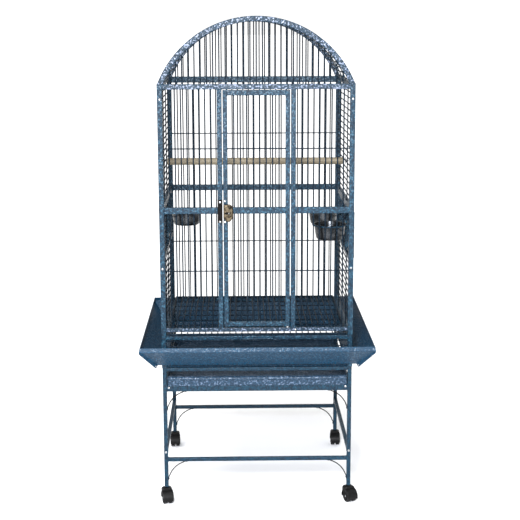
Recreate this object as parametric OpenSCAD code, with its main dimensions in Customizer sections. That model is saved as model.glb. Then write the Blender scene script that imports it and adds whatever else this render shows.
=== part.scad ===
// Dome-top parrot cage on a castered stand.
// Millimetres, +Z up, front of the cage towards -Y.
// Origin: centre of the footprint, on the floor under the casters.

/* [Cage] */
// Overall width of the cage frame, left to right
cage_w = 610; // [600:1:640]
// Overall depth of the cage frame, front to back
cage_d = 559; // [550:1:600]
// Height of the top of the dome above the floor
dome_z = 1561; // [1556:1:1565]
// Height of the top of the corner posts, where the dome springs
spring_z = 1356; // [1352:1:1358]
// Outer radius of the dome arches
dome_r = 328; // [326:1:332]
// Height of the middle rails
mid_z = 964.5; // [962:0.5:967]
// Height of the rail under the feeder doors
feeder_rail_z = 800; // [796:1:802]

/* [Tube and wire] */
// Side of the square corner posts
post = 16; // [16:0.5:17]
// Wall of the corner posts
post_wall = 1.3; // [1.2:0.05:1.35]
// Side of the square rails and stiles
rail = 12; // [11:0.5:13]
// Radial thickness of the dome arches
arch_t = 16.5; // [15:0.5:17]
// Height of the rail over the front door
head_h = 16; // [14:0.5:16]
// Height of the top rail of the rear panel
rear_head_h = 21; // [16:0.5:22]
// Height of the middle rails
mid_h = 20; // [18:0.5:21]
// Diameter of the bar wire
wire = 3.8; // [3.4:0.1:3.8]
// Target spacing of the bars, centre to centre
bar_pitch = 19; // [18:0.5:20]

/* [Stand] */
// Side of the square stand legs
leg = 13; // [12.5:0.1:13]
// Height of the bottom of the legs
leg_z0 = 54; // [54:1:56]
// Height of the top of the stand's upper ring
stand_z = 457; // [455:1:458]
// Height of the top of the rail that carries the tray
shelf_z = 397; // [395:1:398]
// Centre height of the front and rear lower stretchers
stretcher_z = 146.5; // [140:0.5:155]
// Centre height of the side stretchers
side_stretcher_z = 173; // [170:1:190]

/* [Front door] */
// Width of the door
door_w = 208; // [206:0.5:208]
// Height of the bottom edge of the door
door_z0 = 592; // [590:1:594]
// Height of the top edge of the door
door_z1 = 1338; // [1334:1:1338]
// Width of the opening between the panel stiles
door_gap_w = 214; // [214:0.5:218]
// Width of the door's stiles
door_bar = 14; // [13:0.5:14]

/* [Feeders] */
// Length of a feeder door, front to back
feeder_w = 154; // [152:1:155]
// Centre of the front feeder door behind the cage centre
feeder_front_y = -183; // [-184:1:-182]
// Centre of the rear feeder doors behind the cage centre
feeder_rear_y = 115; // [100:1:118]
// Radius of a bowl at its rim
bowl_r = 55; // [52:0.5:55]
// Depth of a bowl
bowl_h = 49; // [44:1:52]
// Height of the top of the bowl rings
ring_z = 904.7; // [900:0.1:910]

/* [Skirt] */
// How far the rim stands out from the cage at the left and right
skirt_out_x = 66.5; // [60:0.5:70]
// How far the rim stands out from the cage at the front and rear
skirt_out_y = 80; // [70:0.5:82]
// Height of the bottom edge of the skirt
skirt_z0 = 470; // [466:1:474]
// Height of the fold between slope and rim
skirt_z1 = 530; // [526:1:532]
// Height of the top of the rim
skirt_z2 = 543.5; // [540:0.5:545]

/* [Tray and grille] */
// Height of the tray wall
tray_h = 32; // [28:1:36]
// Height of the underside of the floor grille
grille_z = 560.8; // [560.6:0.1:561]

/* [Casters] */
// Radius of a caster wheel
wheel_r = 20; // [19:0.5:20.5]
// Trail of the wheel axle behind the stem
trail = 10; // [8:1:12]

/* [Hidden] */
$fn = 48;
clear = 0.3;
running = 0.05;
eps = 0.05;
xo = cage_w / 2;
yo = cage_d / 2;
px = xo - post / 2;
py = yo - post / 2;
xi = xo - post;
yi = yo - post;
half = rail / 2;
wr = wire / 2;
cross = wire + eps;
bite = 2;
side_x = xo - half;

sill_z0 = 574.2;
band_z0 = grille_z - clear - rail;
band_z1 = grille_z - clear;
head_z0 = spring_z - head_h;
rear_head_z0 = spring_z - rear_head_h;
mid_z0 = mid_z - mid_h / 2;
mid_z1 = mid_z + mid_h / 2;
low_cross_z = (sill_z0 + rail + mid_z0) / 2;
high_cross_z = (mid_z1 + head_z0) / 2;
dome_cz = dome_z - dome_r;
arch_r = dome_r - arch_t / 2;
stile_w = 15;
door_pin_x = door_w / 2 - door_bar / 2;
pin_r = 2.5;
end_stile = 3;

lock_t = 14;
lock_z = mid_z - 7;
bolt_w = 7;
bolt_h = 14;
lock_x0 = -door_w / 2;
lock_x1 = lock_x0 + 30;
lock_y = -py - half;
bolt_y = lock_y - lock_t / 2;
travel = 10;

feeder_bar = 10;
feeder_z0 = feeder_rail_z + half + 2;
feeder_z1 = mid_z0 - 2;
feeder_x = xo - feeder_bar / 2 + 3;
feeder_pin_x = xo - 3;
feeder_pin_r = 1.5;
feeder_arm = feeder_w / 2 - feeder_bar / 2;
hinge_jamb = 8.5;
latch_jamb = 157;
pin_depth = 8;
ring_t = 3;
ring_out = 57;
ring_in = 52.5;
bowl_x = 236;

perch_z = 1087;
perch_y = 10;
perch_r = 11.5;
perch_end = side_x - cross - wr - 0.4;

sheet = 1.2;
shelf_h = 19.5;
skirt_in = 13;
rim_lean = 2.5;

tray_z = shelf_z + clear;
tray_x = xi - 1.5;
tray_y0 = -yo - 2;
tray_y1 = yi - 2;

socket_r = 4 + running;
stem_r = 4;
hood_r = 24;
hood_w = 36;
web = 5;
wheel_w = 12.5;
axle_r = 2.5;

corners = [[-1, -1], [1, -1], [-1, 1], [1, 1]];
swivels = [-78, -66, -86, -92];

post_screws = [spring_z - 46, feeder_rail_z - 20];
keeper_screws = [lock_z - 27.5, lock_z + 34];
case_screws = [lock_z - 28.5, lock_z + 37];
seam_screws = [0.06, 0.78];

steel_blue = [0.18, 0.36, 0.48];
zinc = [0.80, 0.80, 0.82];
stainless = [0.72, 0.73, 0.75];
brass = [0.66, 0.55, 0.32];
black = [0.10, 0.10, 0.10];
tan_wood = [0.73, 0.62, 0.45];

// ---------- helpers ----------

// Children as drawn for s = 1, mirrored to the -X side for s = -1
module side_of(s) {
    if (s < 0)
        mirror([1, 0, 0])
            children();
    else
        children();
}

// Box from one corner to the other
module span(a, b) {
    translate(a)
        cube(b - a);
}

// Upright square tube, open at both ends
module upright_tube(x, y, z0, z1, side, wall) {
    inner = side - 2 * wall;
    translate([x, y, (z0 + z1) / 2])
        difference() {
            cube([side, side, z1 - z0], center = true);
            cube([inner, inner, z1 - z0 + 2], center = true);
        }
}

// Wire along X, Y or Z from a start point
module wire_x(x0, x1, y, z, r = wr) {
    translate([x0, y, z])
        rotate([0, 90, 0])
            cylinder(r = r, h = x1 - x0);
}

module wire_y(x, y0, y1, z, r = wr) {
    translate([x, y0, z])
        rotate([-90, 0, 0])
            cylinder(r = r, h = y1 - y0);
}

module wire_z(x, y, z0, z1, r = wr) {
    translate([x, y, z0])
        cylinder(r = r, h = z1 - z0);
}

// Number of bars that fit between two faces at the target spacing
function bar_count(len) = round(len / bar_pitch) - 1;

// Places of the bars between two faces, evenly spaced
function bar_places(a, b) =
    let (n = bar_count(b - a))
    [for (i = [1:n]) a + (b - a) * i / (n + 1)];

// Upright bars in a plane of constant y, biting into the rails above and below
module bars_up(x0, x1, y, z0, z1) {
    for (x = bar_places(x0, x1))
        wire_z(x, y, z0 - bite, z1 + bite);
}

// Front-to-back bars in a plane of constant x, biting into the stiles
module bars_back(x, y0, y1, z0, z1) {
    for (z = bar_places(z0, z1))
        wire_y(x, y0 - bite, y1 + bite, z);
}

// Pan-head screw: head proud of the face at z = 0, shank below it
module screw(head_r = 4, head_h = 2.5, shank_r = 2, shank_l = 8) {
    rotate_extrude()
        polygon([
            [0, -shank_l], [shank_r, -shank_l], [shank_r, 0], [head_r, 0],
            [head_r, head_h * 0.45], [head_r * 0.62, head_h], [0, head_h]
        ]);
}

module screw_front(x, y, z) {
    translate([x, y, z])
        rotate([90, 0, 0])
            screw();
}

module screw_rear(x, y, z) {
    translate([x, y, z])
        rotate([-90, 0, 0])
            screw();
}

// ---------- stand ----------

// One end frame of the stand: two legs, shelf rail, upper rail and lower stretcher
module stand_end() {
    half_leg = leg / 2;
    for (s = [-1, 1])
        upright_tube(s * px, 0, leg_z0, stand_z + 40, leg, 1);
    span([-px + half_leg, -half, shelf_z - shelf_h], [px - half_leg, half, shelf_z]);
    span([-px + half_leg, -half, stand_z - rail], [px - half_leg, half, stand_z]);
    span([-px + half_leg, -half, stretcher_z - half], [px - half_leg, half, stretcher_z + half]);
}

module stand_front_frame() {
    color(steel_blue)
        translate([0, -py, 0])
            stand_end();
}

module stand_rear_frame() {
    color(steel_blue)
        translate([0, py, 0])
            stand_end();
}

// Side rails between the end frames: stretcher, tray shelf with its ledge, and upper rail
module stand_side_rails() {
    y1 = py - leg / 2;
    ledge = 16;
    ledge_t = 2;
    color(steel_blue)
        for (s = [-1, 1])
            side_of(s) {
                span([px - half, -y1, side_stretcher_z - half], [px + half, y1, side_stretcher_z + half]);
                span([px - half, -y1, stand_z - rail], [px + half, y1, stand_z]);
                union() {
                    span([px - half, -y1, shelf_z - shelf_h], [px + half, y1, shelf_z]);
                    span([px - half - ledge, -y1, shelf_z - ledge_t], [px, y1, shelf_z]);
                }
            }
}

// Curved strap brace in the corner under a rail, with a flat tab at each end
module scroll() {
    r = 74;
    centre = 73.5;
    strap = 3.5;
    deep = 4;
    tab0 = 46;
    tab1 = 64;
    sweep = 58;
    translate([centre, 0, -centre])
        rotate([90, 0, 0])
            rotate([0, 0, 135 - sweep / 2])
                rotate_extrude(angle = sweep)
                    translate([r, 0])
                        square([strap, deep], center = true);
    span([tab0, -deep / 2, -strap], [tab1, deep / 2, 0]);
    span([0, -deep / 2, -tab1], [strap, deep / 2, -tab0]);
}

// Braces under both ends of the shelf rails and the lower stretchers
module corner_scrolls() {
    x0 = px - leg / 2;
    color(black)
        for (s = [-1, 1], y = [-py, py], z = [stretcher_z - half, shelf_z - shelf_h])
            translate([-s * x0, y, z])
                side_of(s)
                    scroll();
}

// Plugs in the leg bottoms that hold the caster stems
module leg_sockets() {
    inner = leg - 2;
    color(black)
        for (c = corners)
            translate([c[0] * px, c[1] * py, leg_z0])
                difference() {
                    union() {
                        translate([-leg / 2, -leg / 2, -2])
                            cube([leg, leg, 2]);
                        translate([-inner / 2, -inner / 2, 0])
                            cube([inner, inner, 30]);
                    }
                    translate([0, 0, -3])
                        cylinder(r = socket_r, h = 30);
                }
}

// Screws on the fixed frame: posts, legs, shelf, sill, keeper and skirt corners
module frame_screws() {
    color(zinc) {
        for (s = [-1, 1]) {
            for (z = post_screws) {
                screw_front(s * px, -yo, z);
                screw_rear(s * px, yo, z);
            }
            screw_front(s * px, -py - leg / 2, side_stretcher_z);
            screw_rear(s * px, py + leg / 2, side_stretcher_z);
        }
        screw_front(-px + leg, -py - half, shelf_z - 6);
        screw_front(px - leg, -py - half, shelf_z - 6);
        screw_front(door_gap_w / 2 + stile_w, -py - half, sill_z0 + half);
        for (z = keeper_screws)
            screw_front(-door_gap_w / 2 - stile_w / 2, -py - half - 2, z);
        for (s = [-1, 1], t = seam_screws)
            side_of(s) {
                seam_screw(t);
                mirror([0, 1, 0])
                    seam_screw(t);
            }
    }
}

// Screw through a front corner seam of the skirt, at fraction t of its length
module seam_screw(t) {
    at_seam(xo, yo, skirt_out_x, skirt_out_y)
        translate([seam_run * t + 3.5, -sheet - 0.2, skirt_z0 + (skirt_z1 - skirt_z0) * t - 4.5])
            rotate([90, 0, 0])
                screw(3, 1.8, 1.4, 4);
}

// ---------- cage base ----------

module corner_posts() {
    color(steel_blue)
        for (c = corners)
            upright_tube(c[0] * px, c[1] * py, stand_z, spring_z, post, post_wall);
}

// Front band, the wire guard under it and the two angle runners that carry the grille
module base_rails() {
    ledge = 14;
    t = 1.5;
    guard_x = 252;
    guard_z = [band_z0 - 5.5, band_z0 - 23.5];
    color(steel_blue) {
        span([-xi, -py - half, band_z0], [xi, -py + half, band_z1]);
        for (z = guard_z)
            wire_x(-xi, xi, -py, z);
        for (s = [-1, 1]) {
            wire_z(s * guard_x, -py + cross, guard_z[1] - wr, band_z0 + bite);
            side_of(s)
                translate([xo - rail, yi, band_z1])
                    rotate([90, 0, 0])
                        linear_extrude(2 * yi)
                            polygon([[0, 0], [-ledge, 0], [-ledge, -t], [-t, -t], [-t, -rail], [0, -rail]]);
        }
    }
}

// Length of a corner seam in plan, foot to rim
seam_run = norm([skirt_out_x - skirt_in, skirt_out_y - skirt_in]);

// Children placed at the foot of the corner seam on the +X side of a panel, running out along +X.
// reach and out are the cage half size and skirt overhang along -Y, side and side_out along +X.
module at_seam(side, reach, side_out, out) {
    translate([side + skirt_in, -reach - skirt_in, 0])
        rotate([0, 0, -atan2(out - skirt_in, side_out - skirt_in)])
            children();
}

// Folded sheet panel of the skirt, facing -Y: foot flange, slope and leaning rim
module skirt_panel(reach, side, out, side_out) {
    gap = 0.15;
    foot_y = reach + skirt_in;
    rim_y = reach + out;
    foot_x = side + skirt_in;
    rim_x = side + side_out;
    t = sheet;
    ear = 22;
    inner_x = side - post - 0.3;
    inner_y = -reach + post - 0.3;
    intersection() {
        rotate([90, 0, 90])
            translate([0, 0, -rim_x - 1])
                linear_extrude(2 * rim_x + 2)
                    polygon([
                        [-reach, skirt_z0], [-foot_y, skirt_z0], [-rim_y, skirt_z1], [-rim_y + rim_lean, skirt_z2],
                        [-rim_y + rim_lean + t, skirt_z2], [-rim_y + t, skirt_z1 + t * 0.4],
                        [-foot_y + t * 0.5, skirt_z0 + t], [-reach, skirt_z0 + t]
                    ]);
        translate([0, 0, skirt_z0 - 1])
            linear_extrude(skirt_z2 - skirt_z0 + 2)
                polygon([
                    [-side + gap, -reach], [side - gap, -reach], [foot_x - gap, -foot_y], [rim_x - gap, -rim_y],
                    [rim_x - gap, -rim_y - 1], [-rim_x + gap, -rim_y - 1], [-rim_x + gap, -rim_y],
                    [-foot_x + gap, -foot_y]
                ]);
    }
    span([-inner_x, -reach - 1, skirt_z0], [inner_x, inner_y, skirt_z0 + t]);
    span([-inner_x, inner_y - t, stand_z - 2], [inner_x, inner_y, skirt_z0 + t]);
    for (s = [-1, 1])
        side_of(s) {
            span([side - post, -reach - t, skirt_z0 + t * 0.5], [side - 1, -reach, skirt_z0 + ear]);
            at_seam(side, reach, side_out, out)
                corner_seam();
        }
}

// Bolted seam flange under the slope, in the plane of the corner mitre
module corner_seam() {
    flange_gap = 0.15;
    translate([0, -flange_gap, 0])
        rotate([90, 0, 0])
            linear_extrude(sheet)
                polygon([
                    [0, skirt_z0 + 0.5], [seam_run - 1, skirt_z1 + 0.5], [seam_run - 3, skirt_z1 - 9],
                    [8, skirt_z0 - 8]
                ]);
}

module skirt_front() {
    color(steel_blue)
        skirt_panel(yo, xo, skirt_out_y, skirt_out_x);
}

module skirt_rear() {
    color(steel_blue)
        rotate([0, 0, 180])
            skirt_panel(yo, xo, skirt_out_y, skirt_out_x);
}

module skirt_left() {
    color(steel_blue)
        rotate([0, 0, -90])
            skirt_panel(xo, yo, skirt_out_x, skirt_out_y);
}

module skirt_right() {
    color(steel_blue)
        rotate([0, 0, 90])
            skirt_panel(xo, yo, skirt_out_x, skirt_out_y);
}

// Pull-out tray: sheet pan with a rolled front lip
module tray() {
    lip_r = 6.5;
    color(steel_blue) {
        difference() {
            span([-tray_x, tray_y0, tray_z], [tray_x, tray_y1, tray_z + tray_h]);
            span([-tray_x + sheet, tray_y0 + sheet, tray_z + sheet],
                 [tray_x - sheet, tray_y1 - sheet, tray_z + tray_h + 1]);
        }
        difference() {
            wire_x(-tray_x, tray_x, tray_y0 - 1, tray_z + tray_h - lip_r - 0.5, lip_r);
            span([-tray_x - 1, tray_y0 + sheet / 2, tray_z], [tray_x + 1, 0, tray_z + tray_h]);
        }
    }
}

// Pull-out floor grille: flat-bar frame, front-to-back bars over cross wires
module floor_grille() {
    gx = xi - 4;
    gy0 = -py - 5;
    gy1 = py - half - 2;
    bar = 5;
    crossings = 7;
    cross_z = grille_z + wr + eps;
    bar_z = cross_z + cross;
    top = bar_z + wr;
    color(steel_blue) {
        difference() {
            span([-gx, gy0, grille_z], [gx, gy1, top]);
            span([-gx + bar, gy0 + bar, grille_z - 1], [gx - bar, gy1 - bar, top + 1]);
        }
        for (x = bar_places(-gx + bar, gx - bar))
            wire_y(x, gy0 + bar - bite, gy1 - bar + bite, bar_z);
        for (i = [1:1:crossings])
            wire_x(-gx + bar - bite, gx - bar + bite, gy0 + (gy1 - gy0) * i / (crossings + 1), cross_z);
    }
}

// Wire pull at the front of the grille
module grille_handle() {
    w = 50;
    y0 = -py - 5;
    y1 = y0 - 12;
    z0 = grille_z - 7;
    z1 = grille_z + 3;
    color(steel_blue) {
        for (s = [-1, 1]) {
            wire_y(s * w, y1, y0, z1, wr - 0.2);
            wire_z(s * w, y1, z0 - wr, z1 + wr);
        }
        wire_x(-w, w, y1, z0, wr - 0.2);
    }
}

// ---------- panels ----------

// Header over the door and sill under it, drilled for the door pins
module front_rails() {
    depth = 8;
    color(steel_blue) {
        difference() {
            span([-xi, -py - half, head_z0], [xi, -py + half, spring_z]);
            wire_z(door_pin_x, -py, head_z0 - 1, head_z0 + depth, pin_r + running);
        }
        difference() {
            span([-xi, -py - half, sill_z0], [xi, -py + half, sill_z0 + rail]);
            wire_z(door_pin_x, -py, sill_z0 + rail - depth, sill_z0 + rail + 1, pin_r + running);
        }
    }
}

// Fixed bay beside the door, on the +X side: stiles, middle rail, bars and cross wires
module front_bay() {
    z0 = sill_z0 + rail;
    z1 = head_z0;
    x0 = door_gap_w / 2;
    x1 = x0 + stile_w;
    span([x0, -half, z0], [x1, half, z1]);
    span([x1, -half, mid_z0], [xi, half, mid_z1]);
    for (x = bar_places(x1, xi))
        wire_z(x, 0, z0, z1);
    for (z = [low_cross_z, high_cross_z])
        wire_x(x1 - bite, xi, cross, z);
}

module front_left_panel() {
    color(steel_blue)
        translate([0, -py, 0])
            side_of(-1)
                front_bay();
}

module front_right_panel() {
    color(steel_blue)
        translate([0, -py, 0])
            front_bay();
}

// One-piece rear panel
module rear_panel() {
    color(steel_blue)
        translate([0, py, 0]) {
            span([-xi, -half, band_z0], [xi, half, band_z1]);
            span([-xi, -half, mid_z0], [xi, half, mid_z1]);
            span([-xi, -half, rear_head_z0], [xi, half, spring_z]);
            for (x = bar_places(-xi, xi))
                wire_z(x, 0, band_z1 - bite, rear_head_z0 + bite);
            for (z = [low_cross_z, high_cross_z])
                wire_x(-xi, xi, -cross, z);
        }
}

// Closed rectangle of side panel on the +X side, between y0 and y1.
// low and high are the heights of the rails under and over the bars.
module side_grille(y0, y1, z0, z1, low, high, uprights) {
    stile = end_stile;
    x0 = xo - rail;
    inner0 = z0 + low;
    inner1 = z1 - high;
    if (low > 0)
        span([x0, y0, z0], [xo, y1, inner0]);
    if (high > 0)
        span([x0, y0, inner1], [xo, y1, z1]);
    span([x0, y0, z0], [xo, y0 + stile, z1]);
    span([x0, y1 - stile, z0], [xo, y1, z1]);
    bars_back(side_x, y0 + stile, y1 - stile, inner0, inner1);
    for (i = [1:1:uprights])
        wire_z(side_x - cross, y0 + (y1 - y0) * i / (uprights + 1), inner0 - bite, inner1 + bite);
}

module lower_side() {
    side_grille(-yi, yi, band_z0, feeder_rail_z + half, rail, rail, 3);
}

module upper_side() {
    side_grille(-yi, yi, mid_z0, spring_z, mid_h, rail, 3);
}

// Hinge line of a feeder door whose centre is at center
function pin_y(center) = center - feeder_arm;

module left_lower_panel() {
    color(steel_blue)
        side_of(-1)
            lower_side();
}

module left_upper_panel() {
    color(steel_blue)
        side_of(-1)
            upper_side();
}

module right_lower_panel() {
    color(steel_blue)
        lower_side();
}

module right_upper_panel() {
    color(steel_blue)
        upper_side();
}

// Fixed part of the feeder band from y0 to y1
module band_piece(y0, y1, uprights) {
    z0 = feeder_rail_z + half;
    side_grille(y0, y1, z0, mid_z0, 2, 2, uprights);
}

module left_feeder_panel() {
    color(steel_blue)
        side_of(-1) {
            band_piece(-yi, pin_y(feeder_rear_y) - hinge_jamb, 2);
            band_piece(pin_y(feeder_rear_y) + latch_jamb, yi, 0);
        }
}

module right_feeder_panel() {
    color(steel_blue) {
        band_piece(pin_y(feeder_front_y) + latch_jamb, pin_y(feeder_rear_y) - hinge_jamb, 1);
        band_piece(pin_y(feeder_rear_y) + latch_jamb, yi, 0);
    }
}

// ---------- dome ----------

// Arch tube with the upright bars of its lunette
module arch() {
    n = floor(xi / bar_pitch - 0.6);
    rotate([90, 0, 0])
        linear_extrude(rail, center = true)
            intersection() {
                translate([0, dome_cz])
                    difference() {
                        circle(r = dome_r, $fn = 180);
                        circle(r = dome_r - arch_t, $fn = 180);
                    }
                translate([-dome_r - 1, spring_z])
                    square([2 * dome_r + 2, dome_r]);
            }
    for (i = [-n:n])
        let (x = i * bar_pitch)
            wire_z(x, 0, spring_z, dome_cz + sqrt(arch_r * arch_r - x * x));
}

module front_arch() {
    color(steel_blue)
        translate([0, -py, 0])
            arch();
}

module rear_arch() {
    color(steel_blue)
        translate([0, py, 0])
            arch();
}

// Front-to-back bars over the dome
module dome_bars() {
    a0 = asin((spring_z - dome_cz) / arch_r);
    sweep = 180 - 2 * a0;
    n = round(sweep * PI / 180 * arch_r / bar_pitch);
    color(steel_blue)
        for (i = [0:n - 1])
            let (a = a0 + sweep * (i + 0.5) / n)
                wire_y(arch_r * cos(a), -py + half, py - half, dome_cz + arch_r * sin(a));
}

// Hoop wires outside the dome bars
module dome_hoops() {
    r = arch_r + cross;
    a0 = asin((spring_z - dome_cz + eps) / (r - wr));
    color(steel_blue)
        for (i = [-1:1])
            translate([0, i * py / 2, dome_cz])
                rotate([90, 0, 0])
                    rotate([0, 0, a0])
                        rotate_extrude(angle = 180 - 2 * a0, $fn = 180)
                            translate([r, 0])
                                circle(r = wr);
}

// ---------- front door ----------

module front_door() {
    w = door_w / 2;
    low = 15;
    high = 16.5;
    inner = w - door_bar;
    color(steel_blue)
        translate([0, -py, 0]) {
            for (s = [-1, 1])
                side_of(s)
                    span([inner, -half, door_z0], [w, half, door_z1]);
            for (z = [[door_z0, door_z0 + low], [mid_z0, mid_z1], [door_z1 - high, door_z1]])
                span([-w + half, -half, z[0]], [w - half, half, z[1]]);
            for (x = bar_places(-inner, inner))
                wire_z(x, 0, door_z0 + low - bite, door_z1 - high + bite);
            for (z = [low_cross_z, high_cross_z])
                wire_x(-inner - bite, inner + bite, cross, z);
        }
}

// Pivot pins at the top and bottom of the hinge stile, the lower one with a thrust collar
module door_pins() {
    grip = 10;
    reach = 7;
    sill_top = sill_z0 + rail;
    color(zinc) {
        wire_z(door_pin_x, -py, door_z1 - grip, head_z0 + reach, pin_r);
        wire_z(door_pin_x, -py, sill_top - reach, door_z0 + grip, pin_r);
        wire_z(door_pin_x, -py, sill_top + clear, door_z0, 2 * pin_r);
    }
}

// Case on the lock stile, hollow for the bolt and slotted for its thumb stud
module lock_case() {
    stud_slot = 3.6;
    tall = 27;
    w = lock_x1 - lock_x0;
    color(brass)
        difference() {
            translate([lock_x0, lock_y, lock_z])
                rotate([90, 0, 0])
                    linear_extrude(lock_t)
                        polygon([
                            [0, tall], [w - 8, tall], [w, tall - 12], [w, -tall + 16],
                            [w - 10, -tall], [11, -tall], [0, -tall + 11]
                        ]);
            span([lock_x0 - 1, bolt_y - bolt_w / 2 - clear, lock_z - bolt_h / 2 - clear],
                 [lock_x1 - 3, bolt_y + bolt_w / 2 + clear, lock_z + bolt_h / 2 + clear]);
            span([lock_x0 + 4, lock_y - lock_t - 1, lock_z - stud_slot],
                 [lock_x0 + 4 + travel + 2 * stud_slot, bolt_y, lock_z + stud_slot]);
        }
}

// Sliding bolt with its thumb stud, drawn back
module lock_bolt() {
    stud_x = lock_x0 + 4 + travel + 3.6;
    color(zinc) {
        span([lock_x0, bolt_y - bolt_w / 2, lock_z - bolt_h / 2],
             [lock_x0 + 24, bolt_y + bolt_w / 2, lock_z + bolt_h / 2]);
        translate([stud_x, bolt_y, lock_z])
            rotate([90, 0, 0])
                cylinder(r = 3, h = lock_t / 2 + 3);
        translate([stud_x, lock_y - lock_t - 1, lock_z])
            rotate([90, 0, 0])
                cylinder(r = 4.5, h = 4);
    }
}

// Keeper on the panel stile, with a pocket for the bolt
module lock_keeper() {
    play = 0.8;
    side_play = 1.3;
    x1 = -door_gap_w / 2;
    x0 = x1 - stile_w;
    plate = 2;
    tall = 23;
    color(black)
        difference() {
            union() {
                span([x0, lock_y - plate, lock_z - 32], [x1, lock_y, lock_z + 42]);
                span([x0, lock_y - lock_t + 1, lock_z - tall], [x1, lock_y, lock_z + tall]);
            }
            span([x0 + 3, bolt_y - bolt_w / 2 - side_play, lock_z - bolt_h / 2 - play],
                 [x1 + 1, bolt_y + bolt_w / 2 + side_play, lock_z + bolt_h / 2 + play]);
        }
}

module lock_screws() {
    color(zinc)
        for (z = case_screws)
            screw_front(lock_x0 + half - 1, lock_y, z);
}

// ---------- feeders ----------

// Feeder door on the +X side with its centre at y
module feeder_door(y) {
    y0 = y - feeder_w / 2;
    y1 = y + feeder_w / 2;
    x0 = feeder_x - feeder_bar / 2;
    x1 = feeder_x + feeder_bar / 2;
    bar_z0 = ring_z - ring_t - 3;
    bar_z1 = ring_z + 3;
    bore = pin_depth + 1;
    difference() {
        union() {
            for (y_stile = [y0, y1 - feeder_bar])
                span([x0, y_stile, feeder_z0], [x1, y_stile + feeder_bar, feeder_z1]);
            for (z = [[feeder_z0, feeder_z0 + feeder_bar], [bar_z0, bar_z1], [feeder_z1 - feeder_bar, feeder_z1]])
                span([x0, y0 + feeder_bar / 2, z[0]], [x1, y1 - feeder_bar / 2, z[1]]);
            bars_back(feeder_x, y0 + feeder_bar, y1 - feeder_bar, feeder_z0 + feeder_bar, bar_z0);
            bars_back(feeder_x, y0 + feeder_bar, y1 - feeder_bar, bar_z1, feeder_z1 - feeder_bar);
        }
        for (z = [[feeder_z0 - 1, feeder_z0 + bore], [feeder_z1 - bore, feeder_z1 + 1]])
            wire_z(feeder_pin_x, pin_y(y), z[0], z[1], feeder_pin_r + running);
    }
}

// Flat ring that holds a bowl, with the tab that joins it to the door
module bowl_ring(y) {
    tab = 44;
    translate([0, 0, ring_z - ring_t])
        linear_extrude(ring_t)
            difference() {
                union() {
                    translate([bowl_x, y])
                        circle(r = ring_out, $fn = 96);
                    translate([bowl_x, y - tab / 2])
                        square([feeder_x - feeder_bar / 2 - bowl_x, tab]);
                }
                translate([bowl_x, y])
                    circle(r = ring_in, $fn = 96);
            }
}

// Spun bowl with a flat rim that rests on its ring
module bowl(y) {
    t = 1;
    wall_r = ring_in - 1.5;
    foot_r = wall_r - 7;
    base_r = foot_r - 6;
    rim_z = ring_z + clear;
    z0 = rim_z + 2 - bowl_h;
    translate([bowl_x, y, 0])
        rotate_extrude($fn = 96)
            polygon([
                [0, z0], [base_r, z0], [foot_r - 1, z0 + 2], [foot_r, z0 + 6],
                [wall_r, rim_z], [bowl_r, rim_z], [bowl_r, rim_z + 2],
                [wall_r - t - 1, rim_z + 2], [wall_r - t, rim_z],
                [foot_r - t, z0 + 6 + t], [base_r - t, z0 + 2 + t], [0, z0 + 2]
            ]);
}

module feeder_door_left() {
    color(steel_blue)
        side_of(-1)
            feeder_door(feeder_rear_y);
}

module feeder_door_right() {
    color(steel_blue)
        feeder_door(feeder_rear_y);
}

module feeder_door_front() {
    color(steel_blue)
        feeder_door(feeder_front_y);
}

module bowl_ring_left() {
    color(steel_blue)
        side_of(-1)
            bowl_ring(feeder_rear_y);
}

module bowl_ring_right() {
    color(steel_blue)
        bowl_ring(feeder_rear_y);
}

module bowl_ring_front() {
    color(steel_blue)
        bowl_ring(feeder_front_y);
}

module bowl_left() {
    color(stainless)
        side_of(-1)
            bowl(feeder_rear_y);
}

module bowl_right() {
    color(stainless)
        bowl(feeder_rear_y);
}

module bowl_front() {
    color(stainless)
        bowl(feeder_front_y);
}

// Hinge pins of the feeder doors, pressed into the rails above and below each door
module feeder_pins() {
    seat = 6;
    color(zinc)
        for (p = [[-1, feeder_rear_y], [1, feeder_rear_y], [1, feeder_front_y]])
            side_of(p[0]) {
                wire_z(feeder_pin_x, pin_y(p[1]), feeder_z0 - 2 - seat, feeder_z0 + pin_depth, feeder_pin_r);
                wire_z(feeder_pin_x, pin_y(p[1]), feeder_z1 - pin_depth, feeder_z1 + 2 + seat, feeder_pin_r);
            }
}

// Stops behind the free edge of each feeder door
module feeder_catches() {
    lap = 6;
    t = 2;
    z0 = feeder_z1 - 30;
    color(steel_blue)
        for (p = [[-1, feeder_rear_y], [1, feeder_rear_y], [1, feeder_front_y]])
            side_of(p[0])
                span([feeder_x - feeder_bar / 2 - clear - t, p[1] + feeder_w / 2 - lap, z0],
                     [feeder_x - feeder_bar / 2 - clear, pin_y(p[1]) + latch_jamb, z0 + 20]);
}

// ---------- perch ----------

module perch() {
    color(tan_wood)
        wire_x(-perch_end, perch_end, perch_y, perch_z, perch_r);
}

// Bolt, washer and wing nut at each end of the perch
module perch_fixings() {
    bolt_r = 2.5;
    washer_r = 13;
    washer_t = 1.5;
    face_x = side_x + wr + eps;
    nut_x = face_x + washer_t;
    color(zinc)
        for (s = [-1, 1])
            side_of(s) {
                wire_x(perch_end - 20, nut_x + 12, perch_y, perch_z, bolt_r);
                wire_x(face_x, nut_x, perch_y, perch_z, washer_r);
                wire_x(nut_x, nut_x + 8, perch_y, perch_z, 5);
                span([nut_x + 2, perch_y - 14, perch_z - 1.5], [nut_x + 12, perch_y + 14, perch_z + 1.5]);
            }
}

// ---------- casters ----------

// Children placed at corner i, turned to its swivel angle, trailing along +X
module at_corner(i) {
    translate([corners[i][0] * px, corners[i][1] * py, 0])
        rotate([0, 0, swivels[i]])
            children();
}

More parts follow.
